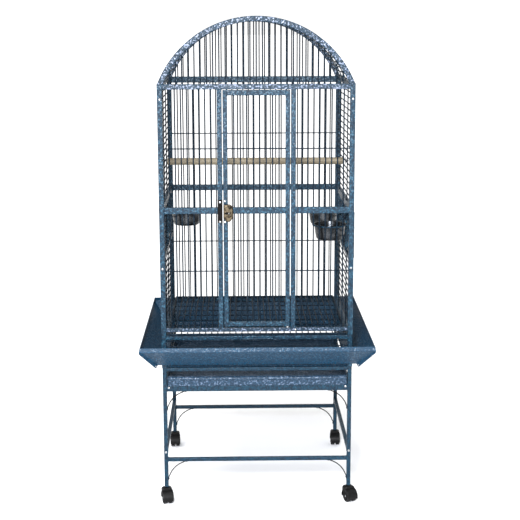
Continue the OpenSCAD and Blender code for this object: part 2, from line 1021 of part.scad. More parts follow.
// Cylinder along the axle, centred on y
module axle_line(r, w, y = 0) {
    translate([trail, y, wheel_r])
        rotate([90, 0, 0])
            cylinder(r = r, h = w, center = true);
}

// Hood over the twin wheels, with the high shoulder round the stem that turns in the leg socket
module caster_hood(i) {
    skirt_z = wheel_r - 6;
    top = leg_z0 - 2.5;
    pocket = 18;
    shoulder = 24;
    shoulder_w = 17;
    slant = 6;
    color(black)
        at_corner(i) {
            difference() {
                union() {
                    intersection() {
                        axle_line(hood_r, hood_w);
                        translate([trail - 50, -50, skirt_z])
                            cube([100, 100, 100]);
                    }
                    translate([-shoulder / 2 + 1, 0, 0])
                        rotate([90, 0, 90])
                            linear_extrude(shoulder)
                                polygon([
                                    [-shoulder_w, wheel_r + 6], [shoulder_w, wheel_r + 6],
                                    [shoulder_w, top - slant], [shoulder_w - slant, top],
                                    [-shoulder_w + slant, top], [-shoulder_w, top - slant]
                                ]);
                }
                for (s = [-1, 1])
                    axle_line(wheel_r + 1.2, pocket, s * (web / 2 + pocket / 2));
            }
            wire_z(0, 0, top - 4, leg_z0 + 24, stem_r);
        }
}

module caster_axle(i) {
    color(zinc)
        at_corner(i)
            axle_line(axle_r, 2 * wheel_w + web + 2);
}

// Twin wheels with rounded treads, bored for the axle
module caster_wheels(i) {
    edge = 1.8;
    w = wheel_w / 2;
    color(black)
        at_corner(i)
            for (s = [-1, 1])
                translate([trail, s * (web / 2 + 0.5 + w), wheel_r])
                    rotate([90, 0, 0])
                        rotate_extrude()
                            polygon([
                                [axle_r + running, -w], [wheel_r - edge, -w], [wheel_r, -w + edge],
                                [wheel_r, w - edge], [wheel_r - edge, w], [axle_r + running, w]
                            ]);
}

module caster_hood_fl() {
    caster_hood(0);
}

module caster_hood_fr() {
    caster_hood(1);
}

module caster_hood_rl() {
    caster_hood(2);
}

module caster_hood_rr() {
    caster_hood(3);
}

module caster_axle_fl() {
    caster_axle(0);
}

module caster_axle_fr() {
    caster_axle(1);
}

module caster_axle_rl() {
    caster_axle(2);
}

module caster_axle_rr() {
    caster_axle(3);
}

module caster_wheels_fl() {
    caster_wheels(0);
}

module caster_wheels_fr() {
    caster_wheels(1);
}

module caster_wheels_rl() {
    caster_wheels(2);
}

module caster_wheels_rr() {
    caster_wheels(3);
}

stand_front_frame();
stand_rear_frame();
stand_side_rails();
corner_scrolls();
leg_sockets();
frame_screws();
corner_posts();
base_rails();
skirt_front();
skirt_rear();
skirt_left();
skirt_right();
tray();
floor_grille();
grille_handle();
front_rails();
front_left_panel();
front_right_panel();
rear_panel();
left_lower_panel();
left_feeder_panel();
left_upper_panel();
right_lower_panel();
right_feeder_panel();
right_upper_panel();
front_arch();
rear_arch();
dome_bars();
dome_hoops();
front_door();
door_pins();
lock_case();
lock_bolt();
lock_keeper();
lock_screws();
feeder_pins();
feeder_catches();
feeder_door_left();
feeder_door_right();
feeder_door_front();
bowl_ring_left();
bowl_ring_right();
bowl_ring_front();
bowl_left();
bowl_right();
bowl_front();
perch();
perch_fixings();
caster_hood_fl();
caster_hood_fr();
caster_hood_rl();
caster_hood_rr();
caster_axle_fl();
caster_axle_fr();
caster_axle_rl();
caster_axle_rr();
caster_wheels_fl();
caster_wheels_fr();
caster_wheels_rl();
caster_wheels_rr();
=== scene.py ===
"""Dome-top parrot cage on a castered stand: meshes, materials, floor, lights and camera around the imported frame.

Shapes are built in millimetres in the frame's own axes (front towards -Y) and turned into metres in piece().
"""

import math
import random

import bmesh
import bpy
from mathutils import Matrix, Vector


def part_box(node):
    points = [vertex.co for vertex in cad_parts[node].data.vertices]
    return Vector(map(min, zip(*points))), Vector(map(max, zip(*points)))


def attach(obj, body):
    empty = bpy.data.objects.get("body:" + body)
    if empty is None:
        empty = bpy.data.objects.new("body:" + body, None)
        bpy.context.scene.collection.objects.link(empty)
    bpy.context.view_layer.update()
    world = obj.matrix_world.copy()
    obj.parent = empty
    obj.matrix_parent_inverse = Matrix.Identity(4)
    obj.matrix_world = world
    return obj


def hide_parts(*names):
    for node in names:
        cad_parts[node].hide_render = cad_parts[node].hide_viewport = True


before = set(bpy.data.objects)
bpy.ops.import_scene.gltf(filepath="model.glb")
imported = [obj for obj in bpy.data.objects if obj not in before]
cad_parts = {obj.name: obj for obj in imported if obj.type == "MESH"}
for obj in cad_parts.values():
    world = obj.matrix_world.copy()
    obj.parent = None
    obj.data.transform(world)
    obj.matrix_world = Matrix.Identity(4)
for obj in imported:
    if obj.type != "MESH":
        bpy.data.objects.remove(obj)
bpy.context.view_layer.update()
rng = random.Random(11)

MM = 0.001
X, Y, Z = Vector((1, 0, 0)), Vector((0, 1, 0)), Vector((0, 0, 1))


# ---------- sizes, in millimetres ----------

def box_mm(node):
    low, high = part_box(node)
    return low / MM, high / MM


post_low, post_high = box_mm("corner_posts")
XO, YO = post_high.x, post_high.y
STAND_Z, SPRING_Z = post_low.z, post_high.z
POST = 16.0
RAIL = 12.0
HALF = RAIL / 2
LEG = 13.0
LEG_IN_POST = 40.0
PX, PY = XO - POST / 2, YO - POST / 2
XI, YI = XO - POST, YO - POST
WIRE_R = 1.9
COAT = 0.2
CROSS = 3.85
PITCH = 19.0
STILE = 15.0
DOOR_BAR = 14.0
ARCH_T, HEAD_H, REAR_HEAD_H, MID_H, SHELF_H = 16.5, 16.0, 21.0, 20.0, 19.5

SILL_Z0 = box_mm("front_rails")[0].z
BAND_Z0 = box_mm("rear_panel")[0].z
BAND_Z1 = BAND_Z0 + RAIL
HEAD_Z0, REAR_HEAD_Z0 = SPRING_Z - HEAD_H, SPRING_Z - REAR_HEAD_H
MID_Z0 = box_mm("left_upper_panel")[0].z
MID_Z, MID_Z1 = MID_Z0 + MID_H / 2, MID_Z0 + MID_H
FEEDER_RAIL_Z1 = box_mm("left_lower_panel")[1].z
LOW_CROSS_Z = (SILL_Z0 + RAIL + MID_Z0) / 2
HIGH_CROSS_Z = (MID_Z1 + HEAD_Z0) / 2
DOME_TOP = box_mm("front_arch")[1].z
DOME_R = 328.0
DOME_Z = DOME_TOP - DOME_R
ARCH_R = DOME_R - ARCH_T / 2
SIDE_X = XO - HALF

LEG_Z0 = box_mm("stand_front_frame")[0].z
SHELF_Z = 397.0
STRETCHER_Z = 146.5
SIDE_STRETCHER_Z = box_mm("stand_side_rails")[0].z + HALF

DOOR_LOW, DOOR_HIGH = box_mm("front_door")
DOOR_W = DOOR_HIGH.x
DOOR_GAP = -box_mm("front_left_panel")[1].x

FEEDER_LOW, FEEDER_HIGH = box_mm("feeder_door_left")
FEEDER_Y = dict.fromkeys(("left", "right"), (FEEDER_LOW.y + FEEDER_HIGH.y) / 2)
FEEDER_Y["front"] = sum(v.y for v in box_mm("feeder_door_front")) / 2
FEEDER_SIDE = {"left": -1, "right": 1, "front": 1}
FEEDER_W = FEEDER_HIGH.y - FEEDER_LOW.y
FEEDER_BAR = 10.0
FEEDER_X = XO - FEEDER_BAR / 2 + 3
HINGE_JAMB, LATCH_JAMB = 8.5, 157.0
RING_Z = box_mm("bowl_ring_left")[1].z
RING_T = 3.0
BOWL_LOW, BOWL_HIGH = box_mm("bowl_left")
BOWL_R, BOWL_X = (BOWL_HIGH.x - BOWL_LOW.x) / 2, -(BOWL_LOW.x + BOWL_HIGH.x) / 2

LOCK_LOW, LOCK_HIGH = box_mm("lock_case")
LOCK_Z = (LOCK_LOW.z + LOCK_HIGH.z) / 2
LOCK_FACE, LOCK_BACK = LOCK_LOW.y, LOCK_HIGH.y
LOCK_T = LOCK_BACK - LOCK_FACE
BOLT_Y = (LOCK_FACE + LOCK_BACK) / 2
TRAVEL = 10.0

SKIRT_OUT_X, SKIRT_OUT_Y = 66.5, 80.0
SKIRT_IN = 13.0
SKIRT_Z0, SKIRT_Z1, SKIRT_Z2 = 470.0, 530.0, box_mm("skirt_front")[1].z
RIM_LEAN = 2.5
SHEET = 1.2
SEAM_RUN = math.hypot(SKIRT_OUT_X - SKIRT_IN, SKIRT_OUT_Y - SKIRT_IN)

GRILLE_LOW, GRILLE_HIGH = box_mm("floor_grille")
PERCH_LOW, PERCH_HIGH = box_mm("perch")
CORNERS = {"fl": (-1, -1), "fr": (1, -1), "rl": (-1, 1), "rr": (1, 1)}
SWIVELS = {"fl": -78, "fr": -66, "rl": -86, "rr": -92}
WHEEL_R = 20.0
TRAIL = 10.0
WHEEL_W, WEB = 12.5, 5.0


CREASE = 38
WELD_BEAD = 1.15
BEND_STEPS = 5
FLARE = ((-1.0, 1.0), (0.0, 1.0), (0.35, 0.66), (0.8, 0.36), (1.5, 0.13), (2.6, 0.0))
CHAMFER = ((0.0, -0.45), (0.4, 0.0))


# ---------- mesh helpers ----------

class Shape:
    """Points in millimetres and faces, gathered for one piece."""

    def __init__(self):
        self.points, self.faces, self.thin = [], [], set()

    def skin(self, rings, loop=False, start=True, end=True):
        """Faces between rings of equal length; loop joins the last ring to the first, start and end close the ends."""
        n, base, count = len(rings[0]), len(self.points), len(rings)
        for ring in rings:
            self.points += [Vector(p) for p in ring]
        for i in range(count if loop else count - 1):
            a, b = base + i * n, base + (i + 1) % count * n
            self.faces += [(a + k, a + (k + 1) % n, b + (k + 1) % n, b + k) for k in range(n)]
        if not loop and start:
            self.faces.append(tuple(base + k for k in reversed(range(n))))
        if not loop and end:
            self.faces.append(tuple(base + (count - 1) * n + k for k in range(n)))

    def put(self, other, matrix=Matrix.Identity(4)):
        base = len(self.points)
        self.thin |= {len(self.faces) + i for i in other.thin}
        self.points += [matrix @ p for p in other.points]
        self.faces += [tuple(base + i for i in f) for f in other.faces]

    def moved(self, matrix):
        out = Shape()
        out.put(self, matrix)
        return out


def rounded_rect(w, h, r, steps=3):
    """Rounded rectangle about the origin as (u, v) points."""
    out = []
    for cx, cy, start in ((1, 1, 0), (-1, 1, 90), (-1, -1, 180), (1, -1, 270)):
        for k in range(steps + 1):
            a = math.radians(start + 90 * k / steps)
            out.append((cx * (w / 2 - r) + r * math.cos(a), cy * (h / 2 - r) + r * math.sin(a)))
    return out


def round_ring(r, n, z):
    """Circle of n points about Z at height z."""
    return [(r * math.cos(math.tau * k / n), r * math.sin(math.tau * k / n), z) for k in range(n)]


def arc(x, y, r, *degrees):
    """Points round (x, y), the angles being those of range(*degrees)."""
    return [(x + r * math.cos(a), y + r * math.sin(a)) for a in map(math.radians, range(*degrees))]


def axes_for(d):
    """Two unit vectors square to d: the first level, the second upright where it can be."""
    if abs(d.z) > 0.9:
        return X, d.cross(X).normalized()
    u = Z.cross(d).normalized()
    return u, d.cross(u).normalized()


def ring_at(centre, u, v, profile):
    return [centre + u * p[0] + v * p[1] for p in profile]


def beam(shape, a, b, w, h, r=1.7, sink=1.0, welded=True):
    """Rounded tube from a to b, w wide on the level and h tall, let into what it meets, with a weld round each end."""
    a, b = Vector(a), Vector(b)
    d = (b - a).normalized()
    u, v = axes_for(d)
    profile = rounded_rect(w, h, r)
    shape.skin([ring_at(a - d * sink, u, v, profile), ring_at(b + d * sink, u, v, profile)])
    if welded:
        for point, out in ((a, d), (b, -d)):
            weld(shape, point + out * 0.3, u, v, w, h, r)


def weld(shape, centre, u, v, w, h, r=1.7):
    """Uneven bead round the outline of a tube."""
    outline = rounded_rect(w + 0.6, h + 0.6, r, 2)
    path = []
    for k, p in enumerate(outline):
        q = outline[(k + 1) % len(outline)]
        cuts = max(1, round(math.dist(p, q) / 2.6))
        path += [(p[0] + (q[0] - p[0]) * i / cuts, p[1] + (q[1] - p[1]) * i / cuts) for i in range(cuts)]
    points = [centre + u * p[0] + v * p[1] for p in path]
    tube(shape, points, [WELD_BEAD * rng.uniform(0.72, 1.12) for _ in points], sides=6, loop=True, up=u.cross(v))


def tube(shape, path, radii, sides=12, loop=False, up=None):
    """Round or flattened bar along a path. A radius is a number, or a pair: along up, and square to it."""
    n = len(path)
    normal = None
    rings = []
    for i, p in enumerate(path):
        before = path[i - 1] if loop or i else p
        after = path[(i + 1) % n] if loop or i < n - 1 else p
        tangent = (Vector(after) - Vector(before)).normalized()
        if normal is None:
            normal = Vector(up) if up is not None else axes_for(tangent)[0]
        normal = (normal - tangent * normal.dot(tangent)).normalized()
        side = tangent.cross(normal)
        r = radii[i] if isinstance(radii, (list, tuple)) else radii
        ru, rv = r if isinstance(r, tuple) else (r, r)
        rings.append([Vector(p) + normal * (ru * math.cos(math.tau * k / sides))
                      + side * (rv * math.sin(math.tau * k / sides)) for k in range(sides)])
    shape.skin(rings, loop=loop)


def rod(shape, a, b, r=WIRE_R, sides=10, flare=(True, True)):
    """Straight wire from a to b with a small weld fillet at each flared end, or a chamfer at a free end."""
    a, b = Vector(a), Vector(b)
    d = (b - a).normalized()
    near, far = ([(start + way * run, r + extra) for run, extra in (FLARE if wanted else CHAMFER)]
                 for start, way, wanted in ((a, d, flare[0]), (b, -d, flare[1])))
    path, radii = zip(*near, *reversed(far))
    first = len(shape.faces)
    tube(shape, path, radii, sides)
    shape.thin |= set(range(first, len(shape.faces)))


def nugget(shape, centre, r=1.7, h=1.0, axis=Y):
    """Small lump of weld where two wires cross."""
    lump = Shape()
    rows = ((0.55, -1.0), (0.95, -0.4), (0.95, 0.4), (0.55, 1.0))
    lump.skin([round_ring(r * s, 8, h * z) for s, z in rows])
    lump.thin = set(range(len(lump.faces)))
    turn = axis.to_track_quat("Z", "Y").to_matrix().to_4x4()
    shape.put(lump, Matrix.Translation(centre) @ turn)


def rounded_path(corners, r):
    """Polyline with each inner corner turned on radius r."""
    corners = [Vector(c) for c in corners]
    out = [corners[0]]
    for before, c, after in zip(corners, corners[1:], corners[2:]):
        a, b = (before - c).normalized(), (after - c).normalized()
        half = a.angle(b) / 2
        reach = r / math.tan(half)
        centre = c + (a + b).normalized() * (r / math.sin(half))
        p, q = c + a * reach - centre, c + b * reach - centre
        out += [centre + p.slerp(q, k / BEND_STEPS).normalized() * r for k in range(BEND_STEPS + 1)]
    return out + [corners[-1]]


def turned(profile, sides=40, closed=False):
    """Solid turned about Z from (radius, height) points. A radius of 0 closes an end; closed joins last to first."""
    out = Shape()
    rings = []
    for r, z in profile:
        if r == 0:
            rings.append([len(out.points)] * sides)
            out.points.append(Vector((0, 0, z)))
        else:
            rings.append(list(range(len(out.points), len(out.points) + sides)))
            out.points += [Vector(p) for p in round_ring(r, sides, z)]
    pairs = list(zip(rings, rings[1:])) + ([(rings[-1], rings[0])] if closed else [])
    for a, b in pairs:
        for k in range(sides):
            j = (k + 1) % sides
            face = dict.fromkeys((a[k], a[j], b[j], b[k]))
            if len(face) > 2:
                out.faces.append(tuple(face))
    return out


def prism(points, u, v, offset, depth):
    """Flat plate: outline points in (u, v), from offset along depth."""
    out = Shape()
    out.skin([ring_at(offset, u, v, points), ring_at(offset + depth, u, v, points)])
    return out


def bevelled(outline, u, v, offset, depth, edge):
    """Plate with its far edge broken by a small bevel. The outline is convex."""
    centre = Vector((sum(p[0] for p in outline), sum(p[1] for p in outline), 0)) / len(outline)

    def inset(amount):
        out = []
        n = len(outline)
        for k in range(n):
            p, q, s = (Vector((*outline[(k + j) % n], 0)) for j in (-1, 0, 1))
            e1, e2 = (q - p).normalized(), (s - q).normalized()
            n1, n2 = Vector((-e1.y, e1.x, 0)), Vector((-e2.y, e2.x, 0))
            n1, n2 = (-n if n.dot(centre - q) < 0 else n for n in (n1, n2))
            w = (n1 + n2).normalized()
            m = q + w * (amount / max(0.35, w.dot(n1)))
            out.append((m.x, m.y))
        return out

    way = depth.normalized()
    out = Shape()
    rings = [(outline, 0.0), (outline, depth.length - edge), (inset(edge * 0.35), depth.length - edge * 0.35),
             (inset(edge), depth.length)]
    out.skin([ring_at(offset + way * t, u, v, ring) for ring, t in rings])
    return out


def facing(x, y, z, toward, spin=0.0):
    """Places a turned shape at a point with its axis along toward."""
    turn = Vector(toward).to_track_quat("Z", "Y").to_matrix().to_4x4()
    return Matrix.Translation((x, y, z)) @ turn @ Matrix.Rotation(spin, 4, "Z")


def side_of(s):
    return Matrix.Scale(s, 4, X)


def places(a, b):
    """Places of the bars between two faces, evenly spaced."""
    n = round((b - a) / PITCH) - 1
    return [a + (b - a) * i / (n + 1) for i in range(1, n + 1)]


def pan_head(r=4.0, h=2.4):
    """Domed screw head with a cross recess, standing on z = 0."""
    out = Shape()
    arm, reach, deep = r * 0.13, r * 0.52, h * 0.62

    def cross_ring(scale, z):
        a, b = arm * scale, reach * scale
        quarter = [(b, 0), (b, a), ((a + b) / 2, a), (a, a), (a, (a + b) / 2), (a, b)]
        return [(c * x - s * y, s * x + c * y, z) for c, s in ((1, 0), (0, 1), (-1, 0), (0, -1)) for x, y in quarter]

    rows = ((r * 0.96, -0.3), (r, 0.0), (r * 0.99, h * 0.3), (r * 0.9, h * 0.62), (r * 0.74, h * 0.86))
    out.skin([round_ring(radius, 24, z) for radius, z in rows]
             + [cross_ring(1.0, h * 0.98), cross_ring(0.82, h * 0.98 - deep)])
    return out


def sunk_screw(shape, x, y, z, toward):
    shape.put(pan_head(), facing(x, y, z, toward, rng.uniform(0, math.tau)))


def new_object(name, data):
    obj = bpy.data.objects.new(name, data)
    bpy.context.scene.collection.objects.link(obj)
    return obj


def piece(name, shape, material, *nodes, body="root", slot="hammertone_blue"):
    """Makes the mesh in metres, smooths it, and lets it ride on its body in place of its CAD nodes."""
    mesh = bpy.data.meshes.new(name)
    mesh.from_pydata([tuple(p * MM) for p in shape.points], [], shape.faces)
    bm = bmesh.new()
    bm.from_mesh(mesh)
    bmesh.ops.recalc_face_normals(bm, faces=bm.faces)
    bm.to_mesh(mesh)
    bm.free()
    mesh.shade_smooth()
    mesh.set_sharp_from_angle(angle=math.radians(CREASE))
    obj = new_object(name, mesh)
    mesh.materials.append(material)
    # thin wire faces take the darker wire copy of the coat, painted shade
    if shape.thin and material in (BLUE, GLINT_TOP_BLUE, SHADED_STAND_BLUE):
        mesh.materials.append(SHADED_WIRE_BLUE)
        for i in shape.thin:
            mesh.polygons[i].material_index = 1
    weights = obj.modifiers.new("weighted_normals", "WEIGHTED_NORMAL")
    weights.keep_sharp = True
    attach(obj, body)
    if nodes:
        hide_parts(*nodes)


# ---------- materials ----------

class Nodes:
    """A material and its node tree, with short calls to add and join nodes."""

    def __init__(self, name, **constants):
        self.material = bpy.data.materials.new(name)
        self.material.use_nodes = True
        self.tree = self.material.node_tree
        self.shader = self.tree.nodes["Principled BSDF"]
        for socket, value in constants.items():
            self.shader.inputs[socket.replace("_", " ")].default_value = value
        self.where = self.add("ShaderNodeTexCoord").outputs["Object"]

    def add(self, kind, inputs=None, **settings):
        node = self.tree.nodes.new(kind)
        for key, value in settings.items():
            setattr(node, key, value)
        for key, value in (inputs or {}).items():
            if isinstance(value, bpy.types.NodeSocket):
                self.tree.links.new(value, node.inputs[key])
            else:
                node.inputs[key].default_value = value
        return node

    def noise(self, scale, detail=3.0, roughness=0.55, vector=None, out="Fac"):
        made = self.add("ShaderNodeTexNoise", {"Vector": vector or self.where, "Scale": scale, "Detail": detail,
                                               "Roughness": roughness})
        return made.outputs[out]

    def ramp(self, value, stops):
        node = self.add("ShaderNodeValToRGB", {"Fac": value})
        node.color_ramp.interpolation = "EASE"
        elements = node.color_ramp.elements
        while len(elements) > 1:
            elements.remove(elements[-1])
        elements[0].position, elements[0].color = stops[0][0], grey_or_colour(stops[0][1])
        for position, colour in stops[1:]:
            elements.new(position).color = grey_or_colour(colour)
        return node.outputs["Color"]

    def vector(self, operation, **inputs):
        sockets = {"a": 0, "b": 1, "scale": "Scale"}
        inputs = {sockets[key]: value for key, value in inputs.items()}
        return self.add("ShaderNodeVectorMath", inputs, operation=operation).outputs[0]

    def stretched(self, *scale):
        return self.add("ShaderNodeMapping", {"Vector": self.where, "Scale": scale}).outputs[0]

    def mix(self, factor, a, b):
        inputs = {"Factor": factor, 6: grey_or_colour(a), 7: grey_or_colour(b)}
        return self.add("ShaderNodeMix", inputs, data_type="RGBA").outputs[2]

    def colour(self, value):
        self.tree.links.new(value, self.shader.inputs["Base Color"])

    def rough(self, value):
        self.tree.links.new(value, self.shader.inputs["Roughness"])

    def bump(self, height, distance, strength=1.0, below=None):
        inputs = {"Height": height, "Distance": distance, "Strength": strength}
        if below is not None:
            inputs["Normal"] = below
        out = self.add("ShaderNodeBump", inputs).outputs[0]
        self.tree.links.new(out, self.shader.inputs["Normal"])
        return out


def grey_or_colour(value):
    if isinstance(value, bpy.types.NodeSocket):
        return value
    return (value, value, value, 1.0) if isinstance(value, (int, float)) else (*value, 1.0)


def hammertone(name, cell, deep, body, bright, painted_glint, wave=0.0010, level=0.2):
    """Hammered powder coat: rounded pads between dark veins over a blue ground, with clusters of pale flecks that are
    painted glints standing in for light caught by the coat.
    """
    m = Nodes(name, IOR=1.5, Specular_IOR_Level=level)
    wander = m.vector("SUBTRACT", a=m.noise(1.4 / cell, 2.0, out="Color"), b=(0.5, 0.5, 0.5))
    where = m.vector("ADD", a=m.where, b=m.vector("SCALE", a=wander, scale=cell * 1.1))
    pads = m.add("ShaderNodeTexVoronoi", {"Vector": where, "Scale": 1 / cell, "Smoothness": 0.5, "Randomness": 1.0},
                 feature="SMOOTH_F1").outputs["Distance"]
    edges = m.add("ShaderNodeTexVoronoi", {"Vector": where, "Scale": 1 / cell},
                  feature="DISTANCE_TO_EDGE").outputs["Distance"]
    veins = m.ramp(edges, ((0.0, 0.0), (0.10, 0.45), (0.34, 1.0)))
    flakes = m.noise(2.5 / cell, 4.0, 0.7)
    waves = m.noise(0.62 / cell, 2.0, 0.5)
    clusters = m.noise(0.70 / cell, 2.0, 0.6, vector=where)
    tone = m.mix(veins, deep, body)
    silver = m.add("ShaderNodeMath", {0: veins, 1: m.ramp(flakes, ((0.44, 0.0), (0.66, 1.0)))},
                   operation="MULTIPLY").outputs[0]
    tone = m.mix(silver, tone, bright)
    tone = m.mix(m.ramp(clusters, ((0.36, 0.9), (0.48, 0.0))), tone, deep)
    # painted glint: the highest clusters take the pale glint colour in place of light caught on the coat
    m.colour(m.mix(m.ramp(clusters, ((0.54, 0.0), (0.64, 1.0))), tone, painted_glint))
    m.rough(m.ramp(clusters, ((0.45, 0.55), (0.60, 0.24))))
    rolling = m.bump(waves, wave, 1.0)
    dome = m.ramp(pads, ((0.0, 1.0), (0.75, 0.0)))
    m.bump(m.mix(0.35, dome, veins), cell * 0.08, 0.9, below=rolling)
    return m.material


def patchy(name, patches, edges, colours, rough, grain, relief, **constants):
    """Two tones in patches of noise, with the roughness following the patches, over a fine grain in relief."""
    m = Nodes(name, **constants)
    patches = m.noise(*patches)
    m.colour(m.mix(m.ramp(patches, ((edges[0], 0.0), (edges[1], 1.0))), *colours))
    m.rough(m.ramp(patches, rough))
    m.bump(m.noise(*grain), *relief)
    return m.material


def plated(name, colour, worn):
    """Plated or bare metal with dull patches."""
    return patchy(name, (120.0, 4.0), (0.38, 0.66), (colour, worn), ((0.3, 0.22), (0.7, 0.42)),
                  (900.0, 2.0, 0.6), (0.00006, 0.5), Metallic=1.0)


def nylon(name, base, glint):
    """Moulded black nylon with a fine spark-eroded grain, and lighter, rougher patches that are scuffs and a painted
    sheen.
    """
    return patchy(name, (140.0, 5.0, 0.65), (0.5, 0.75), (base, glint), ((0.35, 0.42), (0.7, 0.62)),
                  (2600.0, 2.0), (0.00008, 0.6), IOR=1.5, Specular_IOR_Level=0.12)


def spun_steel(name, clean, dull):
    """Stainless steel spun on a lathe: fine rings about the bowl's own axis, with smudges."""
    m = Nodes(name, Metallic=1.0)
    patches = m.noise(45.0, 4.0)
    rings = m.noise(1.0, 3.0, 0.6, vector=m.stretched(18.0, 18.0, 2600.0))
    m.colour(m.mix(m.ramp(patches, ((0.35, 0.0), (0.7, 1.0))), clean, dull))
    m.rough(m.ramp(m.mix(0.5, rings, patches), ((0.35, 0.16), (0.65, 0.34))))
    m.bump(rings, 0.00005, 0.6)
    return m.material


def turned_wood(name):
    """Pale hardwood dowel, its grain along X."""
    m = Nodes(name, IOR=1.45, Specular_IOR_Level=0.35)
    grain = m.noise(2.4, 6.0, 0.6, vector=m.stretched(2.2, 60.0, 60.0))
    fibre = m.noise(1.0, 3.0, 0.6, vector=m.stretched(12.0, 900.0, 900.0))
    blotch = m.noise(9.0, 3.0)
    tone = m.ramp(grain, ((0.28, (0.09, 0.075, 0.048)), (0.5, (0.155, 0.130, 0.088)), (0.72, (0.23, 0.20, 0.14))))
    tone = m.mix(m.ramp(fibre, ((0.52, 0.0), (0.7, 0.5))), tone, (0.05, 0.038, 0.024))
    m.colour(m.mix(m.ramp(blotch, ((0.4, 0.0), (0.7, 0.35))), tone, (0.07, 0.056, 0.036)))
    m.rough(m.ramp(grain, ((0.3, 0.62), (0.7, 0.48))))
    m.bump(m.mix(0.5, grain, fibre), 0.00025, 0.6)
    return m.material


# The hammertone materials below are one powder coat in lit and shaded copies: their painted glints and ground are set
# lighter or darker by where light falls.
GROUND = ((0.0003, 0.0061, 0.0144), (0.0014, 0.0230, 0.0448), (0.0066, 0.0459, 0.0800))
BLUE = hammertone("hammertone_blue", 0.0042, *GROUND, painted_glint=(0.022, 0.064, 0.098))
# lit copy: brighter painted glints for the header, sill and arches, where the key light catches them
GLINT_TOP_BLUE = hammertone("hammertone_top_painted_glint", 0.0044, *GROUND, painted_glint=(0.140, 0.172, 0.245), wave=0.0012, level=0.25)
# shaded copy: dimmer painted glints, painted shade on the low stand
SHADED_STAND_BLUE = hammertone("hammertone_stand_painted_shade", 0.0042, *GROUND, painted_glint=(0.006, 0.034, 0.058))
# shaded copy: dim painted glints, painted shade on the down-facing skirt sheet
SHADED_SHEET_BLUE = hammertone("hammertone_sheet_painted_shade", 0.0048, (0.0007, 0.0165, 0.037), (0.0014, 0.025, 0.055),
                        (0.0034, 0.034, 0.070), painted_glint=(0.007, 0.042, 0.080), wave=0.0012, level=0.25)
# lit copy: lighter ground and brighter painted glints for the tray front, where the light catches its lip
GLINT_TRAY_BLUE = hammertone("hammertone_tray_painted_glint", 0.0044, (0.0015, 0.012, 0.028), (0.004, 0.028, 0.058),
                       (0.014, 0.056, 0.100), painted_glint=(0.075, 0.110, 0.165), wave=0.0014, level=0.3)
# shaded copy: darker all over, painted shade that keeps the thin wires dark
SHADED_WIRE_BLUE = hammertone("hammertone_wire_painted_shade", 0.0032, (0.0010, 0.0040, 0.008), (0.002, 0.007, 0.013),
                       (0.006, 0.015, 0.025), painted_glint=(0.012, 0.022, 0.034), wave=0.0006, level=0.05)
ZINC = plated("bright_zinc", (0.42, 0.43, 0.44), (0.26, 0.27, 0.28))
DULL = plated("dull_steel", (0.07, 0.066, 0.06), (0.03, 0.028, 0.026))
# painted reflection: the bowls' steel colours are held near black, standing in for dark surroundings mirrored in them;
# the duller tone marks smudges
STEEL_PAINTED_REFLECTION = spun_steel("spun_stainless_painted_reflection", (0.060, 0.064, 0.068), (0.012, 0.013, 0.014))
BRASS = patchy("cast_brass", (150.0, 4.0, 0.6), (0.40, 0.60), ((0.085, 0.066, 0.040), (0.014, 0.010, 0.006)),
               ((0.3, 0.30), (0.7, 0.52)), (1500.0, 3.0), (0.00012, 0.6), Metallic=0.9)
# near-black enamel of the keeper; also painted shade on the scroll braces and in the lock's keyhole and stud slot
DARK_ENAMEL_AND_SHADE = patchy("dark_enamel_and_painted_shade", (160.0, 5.0, 0.65), (0.52, 0.72), ((0.0022, 0.0016, 0.0013), (0.010, 0.007, 0.005)),
              ((0.3, 0.32), (0.7, 0.5)), (900.0, 3.0), (0.00015, 0.5), Specular_IOR_Level=0.05)
NYLON = nylon("black_nylon", (0.003, 0.003, 0.003), (0.011, 0.011, 0.011))
TREAD = nylon("wheel_nylon", (0.0045, 0.0045, 0.0045), (0.015, 0.015, 0.015))
WOOD = turned_wood("dowel_wood")


# ---------- stand ----------

def hollow_upright(shape, x, y, z0, z1, side, r, wall):
    """Square tube standing on end: open and hollow at the foot, capped and eased at the top."""
    hollow, ease = 12, 0.6
    outer = rounded_rect(side, side, r)
    inner = rounded_rect(side - 2 * wall, side - 2 * wall, max(0.4, r - wall))
    top = rounded_rect(side - 2 * ease, side - 2 * ease, r)

    def level(profile, z):
        return [(x + u, y + v, z) for u, v in profile]

    shape.skin([level(inner, z0 + hollow), level(inner, z0), level(outer, z0), level(outer, z1 - 0.8), level(top, z1)])


def stand_end(name, node, y):
    """End frame of the stand: two legs, shelf rail, upper rail and lower stretcher."""
    s = Shape()
    inner = PX - LEG / 2
    for side in (-1, 1):
        hollow_upright(s, side * PX, y, LEG_Z0, STAND_Z + LEG_IN_POST, LEG, r=1.6, wall=1.0)
    for z, h in ((SHELF_Z - SHELF_H / 2, SHELF_H), (STAND_Z - HALF, RAIL), (STRETCHER_Z, RAIL)):
        beam(s, (-inner, y, z), (inner, y, z), RAIL, h)
    piece(name, s, SHADED_STAND_BLUE, node)


def stand_sides():
    """Side rails between the end frames; the middle one carries the tray on its ledge."""
    s = Shape()
    y1 = PY - LEG / 2
    ledge = 16.0
    for side in (-1, 1):
        x = side * PX
        for z, h in ((SIDE_STRETCHER_Z, RAIL), (STAND_Z - HALF, RAIL), (SHELF_Z - SHELF_H / 2, SHELF_H)):
            beam(s, (x, -y1, z), (x, y1, z), RAIL, h)
        start = Vector((side * (PX - HALF - ledge / 2 + 1), -y1, SHELF_Z - 1))
        s.put(prism(rounded_rect(ledge, 2, 0.7, 2), X, Z, start, Y * (2 * y1)))
    piece("stand_side_tubes", s, SHADED_STAND_BLUE, "stand_side_rails")


